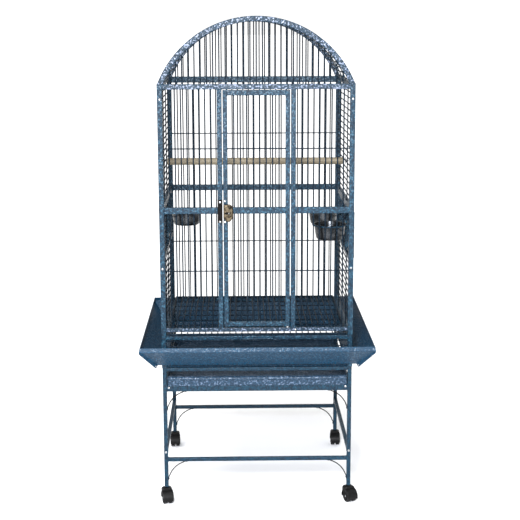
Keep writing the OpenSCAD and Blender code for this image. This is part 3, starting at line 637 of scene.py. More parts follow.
def scroll():
    """Curved strap brace, drawn out flat at both ends with a rivet in each. The corner is at the origin."""
    s = Shape()
    bend, centre, sweep = 74.0, 73.5, 58.0
    end, start, deep, thick = 64.0, 46.0, 1.98, 1.75
    a0 = 135 - sweep / 2
    path = [((end, -1.0), (deep, 0.9)), ((end - 1.0, -1.1), (deep, 1.1)), ((start + 9, -1.2), (deep, 1.15)),
            ((start + 7, -1.7), (deep, thick))]
    steps = 16
    for k in range(steps + 1):
        a = math.radians(a0 + sweep * k / steps)
        if 0 < k < steps:
            path.append(((centre + bend * math.cos(a), -centre + bend * math.sin(a)), (deep, thick)))
    path += [((-z, -x), r) for (x, z), r in reversed(path[:4])]
    tube(s, [(p[0], 0, p[1]) for p, _ in path], [r for _, r in path], sides=14, up=Y)
    rivet = turned([(0, 1.3), (1.0, 1.1), (1.8, 0.5), (1.9, -0.4), (0, -0.4)], 14)
    s.put(rivet, facing(end - 5, 0, -2.2, -Z))
    s.put(rivet, facing(2.2, 0, 5 - end, X))
    return s


def scrolls():
    s = Shape()
    inner = PX - LEG / 2
    brace = scroll()
    for z in (STRETCHER_Z - HALF, SHELF_Z - SHELF_H):
        for side in (-1, 1):
            for y in (-PY, PY):
                s.put(brace, Matrix.Translation((-side * inner, y, z)) @ side_of(side))
    # painted shade: the thin straps take the near-black enamel rather than the frame's blue, so they read dark as in
    # shade
    piece("scroll_braces", s, DARK_ENAMEL_AND_SHADE, "corner_scrolls")


def leg_plugs():
    """Moulded plug under each leg, with the bored collar that the caster's stem turns in."""
    s = Shape()
    bore, top = 4.3, 28
    for sx, sy in CORNERS.values():
        plug = Shape()
        sides = 24

        def square(w, z):
            out = []
            for k in range(sides):
                a = math.tau * (k + 0.5) / sides
                c, t = math.cos(a), math.sin(a)
                m = w / 2 / max(abs(c), abs(t)) if w > 2 * bore else w / 2
                m = min(m, w / 2 * 1.28)
                out.append((m * c, m * t, z))
            return out

        rows = ((2 * bore, top), (2 * bore, -2), (LEG - 1, -2), (LEG, -1.2), (LEG, -0.1), (LEG - 2.4, 0.2),
                (LEG - 2.4, top))
        plug.skin([square(*row) for row in rows], start=False, end=False)
        plug.skin([square(*rows[0]), square(*rows[-1])], start=False, end=False)
        s.put(plug, Matrix.Translation((sx * PX, sy * PY, LEG_Z0)))
    piece("leg_plugs", s, NYLON, "leg_sockets", slot="caster_nylon")


def frame_screws():
    """Every screw on the fixed frame."""
    s = Shape()
    on_posts = (SPRING_Z - 46, FEEDER_RAIL_Z1 - 26)
    on_keeper = (LOCK_Z - 27.5, LOCK_Z + 34)
    along_seam = (0.06, 0.78)
    for side in (-1, 1):
        for z in on_posts:
            for face in (-1, 1):
                sunk_screw(s, side * PX, face * YO, z, face * Y)
        for face in (-1, 1):
            sunk_screw(s, side * PX, face * (PY + LEG / 2), SIDE_STRETCHER_Z, face * Y)
        sunk_screw(s, side * (PX - LEG), -PY - HALF, SHELF_Z - 6, -Y)
    sunk_screw(s, DOOR_GAP + STILE, -PY - HALF, SILL_Z0 + HALF, -Y)
    for z in on_keeper:
        sunk_screw(s, -DOOR_GAP - STILE / 2, -PY - HALF - 2, z, -Y)
    for side in (-1, 1):
        for end in (-1, 1):
            for t in along_seam:
                s.put(seam_screw(t), side_of(side) @ Matrix.Scale(-end, 4, Y))
    piece("screw_heads", s, ZINC, "frame_screws", slot="zinc_plate")


# ---------- skirt ----------

def at_seam(side, reach, side_out, out):
    """Frame at the foot of a panel's right-hand mitre, with X running out along the seam."""
    turn = -math.atan2(out - SKIRT_IN, side_out - SKIRT_IN)
    return Matrix.Translation((side + SKIRT_IN, -reach - SKIRT_IN, 0)) @ Matrix.Rotation(turn, 4, "Z")


def seam_screw(t):
    """Screw through the front right seam, at fraction t of its length."""
    s = Shape()
    spot = (SEAM_RUN * t + 3.5, -SHEET - 0.2, SKIRT_Z0 + (SKIRT_Z1 - SKIRT_Z0) * t - 4.5)
    s.put(pan_head(3.0, 1.8), at_seam(XO, YO, SKIRT_OUT_X, SKIRT_OUT_Y) @ facing(*spot, -Y, rng.uniform(0, 1)))
    return s


def offset_profile(line, t):
    """Closed outline of a sheet of thickness t about an open centreline of (a, z) points."""
    left, right = [], []
    for i, p in enumerate(line):
        before, after = line[max(i - 1, 0)], line[min(i + 1, len(line) - 1)]
        d = Vector((after[0] - before[0], after[1] - before[1])).normalized()
        n = Vector((-d.y, d.x)) * (t / 2)
        left.append((p[0] + n.x, p[1] + n.y))
        right.append((p[0] - n.x, p[1] - n.y))
    return left + right[::-1]


def folded(corners, r):
    """Centreline in (a, z) with its folds rounded."""
    return [(p.x, p.z) for p in rounded_path([(a, 0, z) for a, z in corners], r)]


def skirt_panel(reach, side, out, side_out):
    """One side of the skirt, facing -Y: foot flange, slope, leaning rim with a rolled hem, and mitred ends."""
    s = Shape()
    half, hem, gap, ear = SHEET / 2, 1.7, 0.2, 22.0
    rim = reach + out

    def mitre(a):
        over = max(a - reach, 0.0)
        rise = (side_out - SKIRT_IN) / (out - SKIRT_IN)
        return side - gap + min(over, SKIRT_IN) + max(over - SKIRT_IN, 0.0) * rise

    line = folded([(reach + 0.3, SKIRT_Z0 + half), (reach + SKIRT_IN, SKIRT_Z0 + half), (rim - half, SKIRT_Z1),
                   (rim - RIM_LEAN - half, SKIRT_Z2 - hem)], 3.0)
    roll = arc(rim - RIM_LEAN - hem + 0.3, SKIRT_Z2 - hem, hem, -60, 241, 30)
    for outline in (offset_profile(line, SHEET), roll):
        s.skin([[(f * mitre(a), -a, z) for a, z in outline] for f in (-1.0, -0.5, 0.0, 0.5, 1.0)])
    inner_x, inner_a = side - POST - 0.3, reach - POST + 0.3
    fold_a = inner_a + half
    lip = folded([(reach + 1, SKIRT_Z0 + half), (fold_a, SKIRT_Z0 + half), (fold_a, STAND_Z - 2)], 2.0)
    s.skin([[(x, -a, z) for a, z in offset_profile(lip, SHEET)] for x in (-inner_x, 0.0, inner_x)])
    # flange of the mitred seam, in the seam's own frame
    flange = [(0.0, SKIRT_Z0 + 0.5), (SEAM_RUN - 1.5, SKIRT_Z1 + 0.3), (SEAM_RUN - 2.5, SKIRT_Z1 - 6),
              (SEAM_RUN - 4.5, SKIRT_Z1 - 8.8), (9.5, SKIRT_Z0 - 7.6), (6.0, SKIRT_Z0 - 6.4)]
    plate = rounded_rect(POST - 1.5, ear, 2.0)
    seam = at_seam(side, reach, side_out, out)
    for end in (-1, 1):
        corner = Vector((end * (side - POST / 2 - 0.5), -reach - SHEET, SKIRT_Z0 + ear / 2))
        s.put(prism(plate, X, Z, corner, Y * SHEET))
        s.put(prism(flange, X, Z, Vector((0, -gap, 0)), -Y * (SHEET - 0.1)), side_of(end) @ seam)
    return s


def skirts():
    end, flank = (YO, XO, SKIRT_OUT_Y, SKIRT_OUT_X), (XO, YO, SKIRT_OUT_X, SKIRT_OUT_Y)
    for name, sizes, turn in (("front", end, 0), ("rear", end, 180), ("left", flank, -90), ("right", flank, 90)):
        sheet = skirt_panel(*sizes).moved(Matrix.Rotation(math.radians(turn), 4, "Z"))
        piece(f"skirt_sheet_{name}", sheet, SHADED_SHEET_BLUE, f"skirt_{name}")


# ---------- base, tray and grille ----------

def posts():
    s = Shape()
    for sx, sy in CORNERS.values():
        hollow_upright(s, sx * PX, sy * PY, STAND_Z, SPRING_Z, POST, r=2.2, wall=1.3)
    piece("post_tubes", s, BLUE, "corner_posts")


def base_rails():
    s = Shape()
    beam(s, (-XI, -PY, BAND_Z0 + HALF), (XI, -PY, BAND_Z0 + HALF), RAIL, RAIL)
    guards, hanger_x = (BAND_Z0 - 5.5, BAND_Z0 - 23.5), 252
    for z in guards:
        rod(s, (-XI, -PY, z), (XI, -PY, z))
    for x in (-hanger_x, hanger_x):
        rod(s, (x, -PY + CROSS, guards[1] - WIRE_R), (x, -PY + CROSS, BAND_Z0), flare=(False, True))
        for z in guards:
            nugget(s, (x, -PY + CROSS / 2, z), axis=Y)
    ledge, t = 14.0, 1.5
    angle = [(0, 0), (-ledge, 0), (-ledge, -t), (-t - 0.6, -t), (-t, -t - 0.6), (-t, -RAIL), (0, -RAIL)]
    for side in (-1, 1):
        s.put(prism(angle, X, Z, Vector((XO - RAIL, -YI, BAND_Z1)), Y * (2 * YI)), side_of(side))
    piece("base_tubes", s, BLUE, "base_rails")


def pull_out_tray():
    """Sheet pan: radiused corners, folded top edge and a fat rolled lip across its front."""
    s = Shape()
    low, high = box_mm("tray")
    bead_r, bead_out, corner = 6.5, 1.0, 3.5
    front = low.y + bead_r + bead_out
    x1, y1 = high.x, high.y
    z0, z1 = low.z, high.z
    depth, width = y1 - front, 2 * x1
    mid = (y1 + front) / 2
    bead_z = z1 - bead_r - 0.5

    def ring(inset, z, bulge=0.0):
        out = []
        for u, v in rounded_rect(width - 2 * inset, depth - 2 * inset, max(0.8, corner - inset), 4):
            shift = bulge if v < -depth / 2 + inset + 0.05 else 0.0
            out.append((u, mid + v - shift, z))
        return out

    bead = arc(bead_out, bead_z, bead_r, -88, 89, 16)
    foot = ((2.2, z0), (0.6, z0 + 0.6), (0.0, z0 + 2.2))
    lip = ((0.0, z1 - 0.35), (0.2, z1), (0.9, z1 - 0.1), (SHEET, z1 - 0.45))
    pan = ((SHEET, z0 + 3.0), (SHEET + 0.8, z0 + SHEET + 0.5), (SHEET + 2.4, z0 + SHEET))
    rows = [*foot, *((0.0, z, bulge) for bulge, z in bead), *lip,
            *((SHEET, z, max(0.0, bulge)) for bulge, z in reversed(bead)), *pan]
    s.skin([ring(*row) for row in rows])
    piece("tray_pan", s, GLINT_TRAY_BLUE, "tray", body="tray")


def floor_grille():
    """Flat-bar frame with front-to-back bars over cross wires."""
    s = Shape()
    x1, y0, y1 = GRILLE_HIGH.x, GRILLE_LOW.y, GRILLE_HIGH.y
    z0, z1 = GRILLE_LOW.z, GRILLE_HIGH.z
    bar = 5.0
    z, h = (z0 + z1) / 2, z1 - z0
    for x in (bar / 2 - x1, x1 - bar / 2):
        beam(s, (x, y0, z), (x, y1, z), bar, h, r=1.0, sink=0, welded=False)
    for y in (y0 + bar / 2, y1 - bar / 2):
        beam(s, (-x1 + bar, y, z), (x1 - bar, y, z), bar, h - 0.1, r=1.0, sink=1.0)
    cross_z, crossings = z0 + WIRE_R + 0.05, 7
    for x in places(-x1 + bar, x1 - bar):
        rod(s, (x, y0 + bar, cross_z + CROSS), (x, y1 - bar, cross_z + CROSS))
    for i in range(1, crossings + 1):
        y = y0 + (y1 - y0) * i / (crossings + 1)
        rod(s, (-x1 + bar, y, cross_z), (x1 - bar, y, cross_z))
        for x in places(-x1 + bar, x1 - bar):
            nugget(s, (x, y, cross_z + CROSS / 2), 1.9, 0.9, Z)
    # the grille bars take the darker wire copy of the coat, painted shade
    piece("grille_bars", s, SHADED_WIRE_BLUE, "floor_grille", body="floor_grille")
    pull = Shape()
    low, high = box_mm("grille_handle")
    w = high.x - WIRE_R
    front, drop, top = low.y + WIRE_R, low.z + WIRE_R, high.z - WIRE_R
    path = rounded_path([(-w, y0 + 1, top), (-w, front, top), (-w, front, drop), (w, front, drop), (w, front, top),
                         (w, y0 + 1, top)], 3.4)
    tube(pull, path, WIRE_R, 14)
    for side in (-1, 1):
        rod(pull, (side * w, y0, top), (side * w, y0 - 3.5, top), flare=(True, False))
    piece("grille_pull", pull, BLUE, "grille_handle", body="floor_grille")


# ---------- wire panels ----------

def upright_bars(s, x0, x1, y, z0, z1):
    for x in places(x0, x1):
        rod(s, (x, y, z0), (x, y, z1), r=WIRE_R + COAT)


def cross_wire(s, x0, x1, y, z, bars, toward):
    """Level wire welded across upright bars; toward is -1 or 1, the side of the bars it lies on."""
    rod(s, (x0, y + toward * CROSS, z), (x1, y + toward * CROSS, z))
    for x in bars:
        nugget(s, (x, y + toward * CROSS / 2, z), axis=Y)


def front_rails():
    s = Shape()
    for z, h in ((HEAD_Z0 + HEAD_H / 2, HEAD_H), (SILL_Z0 + HALF, RAIL)):
        beam(s, (-XI, -PY, z), (XI, -PY, z), RAIL, h)
    piece("front_rail_tubes", s, GLINT_TOP_BLUE, "front_rails")


def front_bays():
    for name, side in (("left", -1), ("right", 1)):
        tubes = Shape()
        x0, x1 = DOOR_GAP, DOOR_GAP + STILE
        z0, z1 = SILL_Z0 + RAIL, HEAD_Z0
        beam(tubes, ((x0 + x1) / 2, 0, z0), ((x0 + x1) / 2, 0, z1), STILE, RAIL)
        beam(tubes, (x1, 0, MID_Z), (XI, 0, MID_Z), RAIL, MID_H)
        upright_bars(tubes, x1, XI, 0, z0, MID_Z0)
        upright_bars(tubes, x1, XI, 0, MID_Z1, z1)
        for z in (LOW_CROSS_Z, HIGH_CROSS_Z):
            cross_wire(tubes, x1, XI, 0, z, places(x1, XI), 1)
        tubes = tubes.moved(Matrix.Translation((0, -PY, 0)) @ side_of(side))
        piece(f"front_bay_{name}", tubes, BLUE, f"front_{name}_panel")


def rear_wall():
    s = Shape()
    for z, h in ((BAND_Z0 + HALF, RAIL), (MID_Z, MID_H), (REAR_HEAD_Z0 + REAR_HEAD_H / 2, REAR_HEAD_H)):
        beam(s, (-XI, PY, z), (XI, PY, z), RAIL, h)
    upright_bars(s, -XI, XI, PY, BAND_Z1, MID_Z0)
    upright_bars(s, -XI, XI, PY, MID_Z1, REAR_HEAD_Z0)
    for z in (LOW_CROSS_Z, HIGH_CROSS_Z):
        cross_wire(s, -XI, XI, PY, z, places(-XI, XI), -1)
    piece("rear_wall", s, BLUE, "rear_panel")


def side_grille(s, y0, y1, z0, z1, low, high, uprights):
    """Closed rectangle of side panel on the +X side, low and high being the heights of its rails."""
    stile = 3.0
    tubular = low > 4
    for z, h in ((z0 + low / 2, low), (z1 - high / 2, high)):
        beam(s, (SIDE_X, y0, z), (SIDE_X, y1, z), RAIL, h, r=1.7 if tubular else 0.6, sink=0.0, welded=tubular)
    inner0, inner1 = z0 + low, z1 - high
    flat = rounded_rect(RAIL, stile, 0.8, 2)
    for y in (y0 + stile / 2, y1 - stile / 2):
        s.put(prism(flat, X, Y, Vector((SIDE_X, y, inner0 - 1)), Z * (inner1 - inner0 + 2)))
    bars = places(inner0, inner1)
    for z in bars:
        rod(s, (SIDE_X, y0 + stile, z), (SIDE_X, y1 - stile, z))
    for i in range(1, uprights + 1):
        y = y0 + (y1 - y0) * i / (uprights + 1)
        rod(s, (SIDE_X - CROSS, y, inner0), (SIDE_X - CROSS, y, inner1))
        for z in bars:
            nugget(s, (SIDE_X - CROSS / 2, y, z), axis=X)


def feeder_pin_y(which):
    return FEEDER_Y[which] - FEEDER_W / 2 + FEEDER_BAR / 2


def side_walls():
    for name, side in (("left", -1), ("right", 1)):
        wall = {"lower": Shape(), "feeder": Shape(), "upper": Shape()}
        side_grille(wall["lower"], -YI, YI, BAND_Z0, FEEDER_RAIL_Z1, RAIL, RAIL, 3)
        side_grille(wall["upper"], -YI, YI, MID_Z0, SPRING_Z, MID_H, RAIL, 3)
        rear_pin = feeder_pin_y("left")
        front = -YI if side < 0 else feeder_pin_y("front") + LATCH_JAMB
        side_grille(wall["feeder"], front, rear_pin - HINGE_JAMB, FEEDER_RAIL_Z1, MID_Z0, 2, 2, 2 if side < 0 else 1)
        side_grille(wall["feeder"], rear_pin + LATCH_JAMB, YI, FEEDER_RAIL_Z1, MID_Z0, 2, 2, 0)
        for level, tubes in wall.items():
            piece(f"{name}_{level}_wall", tubes.moved(side_of(side)), BLUE, f"{name}_{level}_panel")


# ---------- dome ----------

def arc_point(y, r, a):
    return Vector((r * math.cos(a), y, DOME_Z + r * math.sin(a)))


def arches():
    for name, y in (("front", -PY), ("rear", PY)):
        s = Shape()
        a0 = math.asin((SPRING_Z - 7 - DOME_Z) / ARCH_R)
        steps = 72
        rings = []
        for k in range(steps + 1):
            a = a0 + (math.pi - 2 * a0) * k / steps
            radial = Vector((math.cos(a), 0, math.sin(a)))
            rings.append(ring_at(arc_point(y, ARCH_R, a), Y, radial, rounded_rect(RAIL, ARCH_T, 2.6, 4)))
        s.skin(rings)
        outer, inner = (math.sqrt(r * r - (SPRING_Z - DOME_Z) ** 2) for r in (DOME_R, DOME_R - ARCH_T))
        for side in (-1, 1):
            weld(s, Vector((side * (outer + inner) / 2, y, SPRING_Z + 0.3)), X, Y, outer - inner, RAIL)
        count = math.floor(XI / PITCH - 0.6)
        for i in range(-count, count + 1):
            x = i * PITCH
            top = DOME_Z + math.sqrt((DOME_R - ARCH_T) ** 2 - x * x)
            rod(s, (x, y, SPRING_Z), (x, y, top), r=WIRE_R + COAT)
        piece(f"{name}_arch_tube", s, GLINT_TOP_BLUE, f"{name}_arch")


def dome():
    bars = Shape()
    r = ARCH_R
    a0 = math.asin((SPRING_Z - DOME_Z) / r)
    sweep = math.pi - 2 * a0
    count = round(sweep * r / PITCH)
    angles = [a0 + sweep * (i + 0.5) / count for i in range(count)]
    for a in angles:
        rod(bars, arc_point(-PY + HALF, r, a), arc_point(PY - HALF, r, a), r=WIRE_R + COAT)
    piece("dome_wires", bars, BLUE, "dome_bars")
    hoops = Shape()
    over = r + CROSS
    a1 = math.asin((SPRING_Z - DOME_Z - 0.5) / over)
    steps = 96
    for i in (-1, 0, 1):
        y = i * PY / 2
        path = [arc_point(y, over, a1 + (math.pi - 2 * a1) * k / steps) for k in range(steps + 1)]
        radii = [WIRE_R + 0.9 * max(0.0, 1 - min(k, steps - k) / 1.5) for k in range(steps + 1)]
        tube(hoops, path, radii, 10, up=Y)
        for a in angles:
            radial = Vector((math.cos(a), 0, math.sin(a)))
            nugget(hoops, arc_point(y, r + CROSS / 2, a), axis=radial)
    piece("dome_hoop_wires", hoops, BLUE, "dome_hoops")


# ---------- front door and lock ----------

def door():
    s = Shape()
    w, z0, z1 = DOOR_W, DOOR_LOW.z, DOOR_HIGH.z
    low, high = 15.0, 16.5
    inner = w - DOOR_BAR
    for side in (-1, 1):
        x = side * (w - DOOR_BAR / 2)
        beam(s, (x, -PY, z0), (x, -PY, z1), DOOR_BAR, RAIL, sink=0.0, welded=False)
    for z, h in ((z0 + low / 2, low), (MID_Z, MID_H), (z1 - high / 2, high)):
        beam(s, (-inner, -PY, z), (inner, -PY, z), RAIL, h - 0.1)
    bars = places(-inner, inner)
    upright_bars(s, -inner, inner, -PY, z0 + low, MID_Z0)
    upright_bars(s, -inner, inner, -PY, MID_Z1, z1 - high)
    for z in (LOW_CROSS_Z, HIGH_CROSS_Z):
        cross_wire(s, -inner, inner, -PY, z, bars, 1)
    piece("door_frame", s, BLUE, "front_door", body="front_door")



def lock():
    """Cast case with a raised boss, a keyhole, a slot for the thumb stud and a stepped edge."""
    s = Shape()
    x0, w, tall = LOCK_LOW.x, LOCK_HIGH.x - LOCK_LOW.x, (LOCK_HIGH.z - LOCK_LOW.z) / 2
    outline = [(0, tall - 2), (2, tall), (w - 9, tall), (w - 3, tall - 5), (w, tall - 11), (w, -tall + 17),
               (w - 3, -tall + 9), (w - 9, -tall + 1), (w - 12, -tall), (12, -tall), (4, -tall + 7), (0, -tall + 12)]
    place = Vector((x0, LOCK_BACK, LOCK_Z))
    step = [(p[0] + (1.4 if p[0] < w / 2 else -1.4), p[1] * 0.94) for p in outline]
    s.put(bevelled(outline, X, Z, place, -Y * (LOCK_T - 3), 1.4))
    s.put(bevelled(step, X, Z, place - Y * (LOCK_T - 4), -Y * 3.2, 1.6))
    # raised ring of the keyhole, and a near-black barrel in it as painted shade for the depth of the hole
    key = (x0 + w - 9.5, LOCK_FACE, LOCK_Z + 17.5)
    ring = [(3.1, -2.0), (3.1, 1.0), (3.6, 1.6), (4.6, 1.6), (5.4, 0.6), (5.6, -0.6), (5.6, -2.0)]
    s.put(turned(ring, 28, closed=True), facing(*key, -Y))
    # lips of the stud slot
    stud_x = x0 + 4 + 3.6 + TRAVEL
    slot = [(math.copysign(TRAVEL / 2 + 1.6, math.cos(a)) + 4.6 * math.cos(a), 4.6 * math.sin(a))
            for a in (math.tau * (k + 0.5) / 20 for k in range(20))]
    hollow = [(u * 0.82, v * 0.66) for u, v in slot]
    middle = Vector((stud_x - TRAVEL / 2, LOCK_FACE, LOCK_Z))

    def oval(points, out):
        return [middle + X * u + Z * v - Y * out for u, v in points]

    s.skin([oval(slot, -0.5), oval(slot, 0.7), oval([(u * 0.95, v * 0.92) for u, v in slot], 1.1),
            oval([(u * 0.87, v * 0.76) for u, v in slot], 1.1), oval(hollow, 0.7), oval(hollow, -0.5)], loop=True)
    piece("lock_body", s, BRASS, "lock_case", body="front_door", slot="lock_brass")
    # painted shade: near-black plugs fill the keyhole and the stud slot where the holes would be in shade
    dark = Shape()
    barrel = [(0, -1.0), (1.2, -0.9), (1.3, -0.2), (3.2, -0.1), (3.3, -1.6), (0, -1.7)]
    dark.put(turned(barrel, 24), facing(*key, -Y))
    dark.skin([oval([(u * 0.84, v * 0.7) for u, v in slot], -0.4), oval([(u * 0.84, v * 0.7) for u, v in slot], 0.25)])
    piece("lock_recess_shade", dark, DARK_ENAMEL_AND_SHADE, body="front_door", slot="keeper_black")
    bolt = Shape()
    beam(bolt, (x0 + 0.2, BOLT_Y, LOCK_Z), (x0 + 24, BOLT_Y, LOCK_Z), 7, 14, r=1.0, sink=0.0, welded=False)
    thumb = LOCK_FACE - box_mm("lock_bolt")[0].y
    stud = [(0, thumb), (2.6, thumb), (4.0, thumb - 0.7), (4.5, thumb - 1.8), (4.5, 2.4), (4.0, 1.6), (3.0, 1.3),
            (3.0, -6.0), (0, -6.0)]
    bolt.put(turned(stud, 28), facing(stud_x, LOCK_FACE, LOCK_Z, -Y))
    piece("lock_bolt_bar", bolt, DULL, "lock_bolt", body="lock_bolt", slot="zinc_plate")


def keeper():
    """Stepped keeper on the panel stile, with a square mouth for the bolt."""
    s = Shape()
    low, high = box_mm("lock_keeper")
    back, front = high.y, low.y
    mid = (low.x + high.x) / 2
    wide, deep = high.x - low.x, back - front
    plate = rounded_rect(wide, high.z - low.z, 2.2, 4)
    s.put(bevelled(plate, X, Z, Vector((mid, back, (low.z + high.z) / 2)), -Y * 2.0, 0.6))
    tall, mouth, bolt_room = 23.0, 7.8, 4.8
    for side in (-1, 1):
        block = tall - mouth
        centre = Vector((mid, back - 0.5, LOCK_Z + side * (mouth + block / 2)))
        s.put(bevelled(rounded_rect(wide, block, 1.6, 3), X, Z, centre, -Y * (deep - 0.5), 1.2))
    wall = BOLT_Y - bolt_room - front
    cover = rounded_rect(wide, 2 * mouth + 3, 1.0, 3)
    s.put(bevelled(cover, X, Z, Vector((mid, front + wall, LOCK_Z)), -Y * wall, 0.7))
    web = rounded_rect(3.0, 2 * mouth + 1, 0.6, 2)
    s.put(prism(web, X, Z, Vector((low.x + 1.5, back - 0.6, LOCK_Z)), -Y * (deep - 1.2)))
    piece("keeper_block", s, DARK_ENAMEL_AND_SHADE, "lock_keeper", slot="keeper_black")
    heads = Shape()
    for z in (LOCK_Z - 28.5, LOCK_Z + 37):
        sunk_screw(heads, LOCK_LOW.x + HALF - 1, LOCK_BACK, z, -Y)
    piece("lock_screw_heads", heads, ZINC, "lock_screws", body="front_door", slot="zinc_plate")


# ---------- feeders ----------

def feeder(which):
    side, y = FEEDER_SIDE[which], FEEDER_Y[which]
    s = Shape()
    z0, z1 = FEEDER_LOW.z, FEEDER_HIGH.z
    arm = FEEDER_W / 2 - FEEDER_BAR / 2
    for end in (-1, 1):
        beam(s, (FEEDER_X, end * arm, z0), (FEEDER_X, end * arm, z1), FEEDER_BAR, FEEDER_BAR, r=1.5, sink=0.0,
             welded=False)
    edge = arm - FEEDER_BAR / 2
    for z, h in ((z0 + FEEDER_BAR / 2, FEEDER_BAR), (RING_Z - RING_T / 2, RING_T + 6),
                 (z1 - FEEDER_BAR / 2, FEEDER_BAR)):
        beam(s, (FEEDER_X, -edge, z), (FEEDER_X, edge, z), FEEDER_BAR, h - 0.1, r=1.5)
    for low, high in ((z0 + FEEDER_BAR, RING_Z - RING_T - 3), (RING_Z + 3, z1 - FEEDER_BAR)):
        for z in places(low, high):
            rod(s, (FEEDER_X, -edge, z), (FEEDER_X, edge, z))
    at = side_of(side) @ Matrix.Translation((0, y, 0))
    piece(f"feeder_frame_{which}", s.moved(at), BLUE, f"feeder_door_{which}", body=f"feeder_{which}")
    piece(f"bowl_hoop_{which}", bowl_ring(which).moved(at), BLUE, f"bowl_ring_{which}", body=f"feeder_{which}")
    bowl(which, side, y)


def bowl_ring(which):
    """Flat ring with rounded edges, its tab widening into the door's cross bar."""
    s = Shape()
    low, high = box_mm(f"bowl_ring_{which}")
    outer = (high.y - low.y) / 2
    inner = outer - 4.5
    z = RING_Z - RING_T / 2
    e, h = 0.6, RING_T / 2
    profile = [(inner, -h + e), (inner + e, -h), (outer - e, -h), (outer, -h + e), (outer, h - e), (outer - e, h),
               (inner + e, h), (inner, h - e)]
    s.put(turned(profile, 96, closed=True), Matrix.Translation((BOWL_X, 0, z)))
    tab = 22.0
    x_door = FEEDER_X - FEEDER_BAR / 2
    x_in = BOWL_X + math.sqrt(outer ** 2 - tab ** 2) - 0.6
    points = [(x_door + 0.5, -tab - 1), (x_door + 0.5, tab + 1), (x_door - 1.5, tab)]
    a1 = math.asin(tab / outer)
    arc = [(BOWL_X + (outer - 1.6) * math.cos(a), (outer - 1.6) * math.sin(a))
           for a in (a1 - 2 * a1 * k / 12 for k in range(13))]
    points += [(x_in, tab)] + arc + [(x_in, -tab), (x_door - 1.5, -tab)]
    s.put(prism(points, X, Y, Vector((0, 0, z - h + 0.2)), Z * (RING_T - 0.4)))
    return s


def bowl(which, side, y):
    """Spun bowl: stepped foot, straight flare and a rolled rim that hangs on its ring."""
    low, high = box_mm(f"bowl_{which}")
    rim_z = RING_Z + 0.3
    wall = 51.0
    foot = wall - 7
    bead = (high.z - rim_z) / 2
    top = rim_z + bead
    outside = [(0, low.z + 1.0), (foot - 12, low.z + 1.0), (foot - 9.5, low.z + 0.6), (foot - 7.5, low.z),
               (foot - 4.5, low.z), (foot - 2.6, low.z + 0.8), (foot - 1.2, low.z + 2.4), (foot, low.z + 5.5),
               (foot + 2.2, low.z + 16), (wall - 2.0, rim_z - 10), (wall - 0.9, rim_z - 2.2), (wall - 0.2, rim_z)]
    bead_r = bead - 0.1
    centre = BOWL_R - bead_r
    rim = arc(centre, top, bead_r, -120, 121, 24)
    inside = [(wall + 0.8, top + bead_r * 0.75), (wall - 0.6, top + bead_r * 0.2), (wall - 1.5, rim_z - 1.0),
              (wall - 2.9, rim_z - 10), (foot + 1.2, low.z + 16.5), (foot - 1.2, low.z + 7.0),
              (foot - 3.0, low.z + 3.8), (foot - 6.0, low.z + 2.2), (foot - 12, low.z + 1.9), (0, low.z + 1.9)]
    spun = turned(outside + rim + inside, 96).moved(Matrix.Translation((side * BOWL_X, y, 0)))
    piece(f"bowl_spun_{which}", spun, STEEL_PAINTED_REFLECTION, f"bowl_{which}", body=f"bowl_{which}", slot="bowl_steel")


# ---------- perch ----------

def perch():
    s = Shape()
    x1, r = PERCH_HIGH.x, (PERCH_HIGH.z - PERCH_LOW.z) / 2
    y, z = (PERCH_LOW.y + PERCH_HIGH.y) / 2, (PERCH_LOW.z + PERCH_HIGH.z) / 2
    sides = 40
    stations = [(-x1, r - 1.5), (-x1 + 0.5, r - 0.6), (-x1 + 1.6, r)]
    stations += [(-x1 + 2 * x1 * k / 24, r + rng.uniform(-0.10, 0.0)) for k in range(1, 24)]
    stations += [(x1 - 1.6, r), (x1 - 0.5, r - 0.6), (x1, r - 1.5)]
    turn = [math.tau * k / sides for k in range(sides)]
    s.skin([[(x, y + ru * math.cos(a), z + ru * math.sin(a)) for a in turn] for x, ru in stations])
    piece("perch_dowel", s, WOOD, "perch", slot="perch_wood")
    metal = Shape()
    washer_x = SIDE_X + WIRE_R + 0.1
    for side in (-1, 1):
        end = Shape()
        washer = [(2.8, 0.0), (12.4, 0.0), (13.0, 0.4), (13.0, 1.1), (12.4, 1.5), (2.8, 1.5)]
        end.put(turned(washer, 40, closed=True), facing(washer_x, y, z, X))
        wing = [(2.4, 2.0), (4.4, 8.0), (6.0, 11.6), (8.6, 13.7), (11.2, 13.4), (12.4, 11.4), (11.6, 8.8),
                (8.0, 5.4), (6.4, 2.0)]
        hub = [(0, 1.5), (5.6, 1.5), (5.8, 2.4), (4.6, 7.4), (3.9, 8.2), (2.7, 8.4), (2.5, 11.2), (1.9, 12.0),
               (0, 12.0)]
        end.put(turned(hub, 28), facing(washer_x, y, z, X))
        for way in (-1, 1):
            outline = [(u - 0.4, way * v) for u, v in wing]
            end.put(prism(outline, X, Y, Vector((washer_x, y, z - 1.1)), Z * 2.2))
        metal.put(end, side_of(side))
    piece("perch_wing_nuts", metal, ZINC, "perch_fixings", slot="zinc_plate")


# ---------- casters ----------

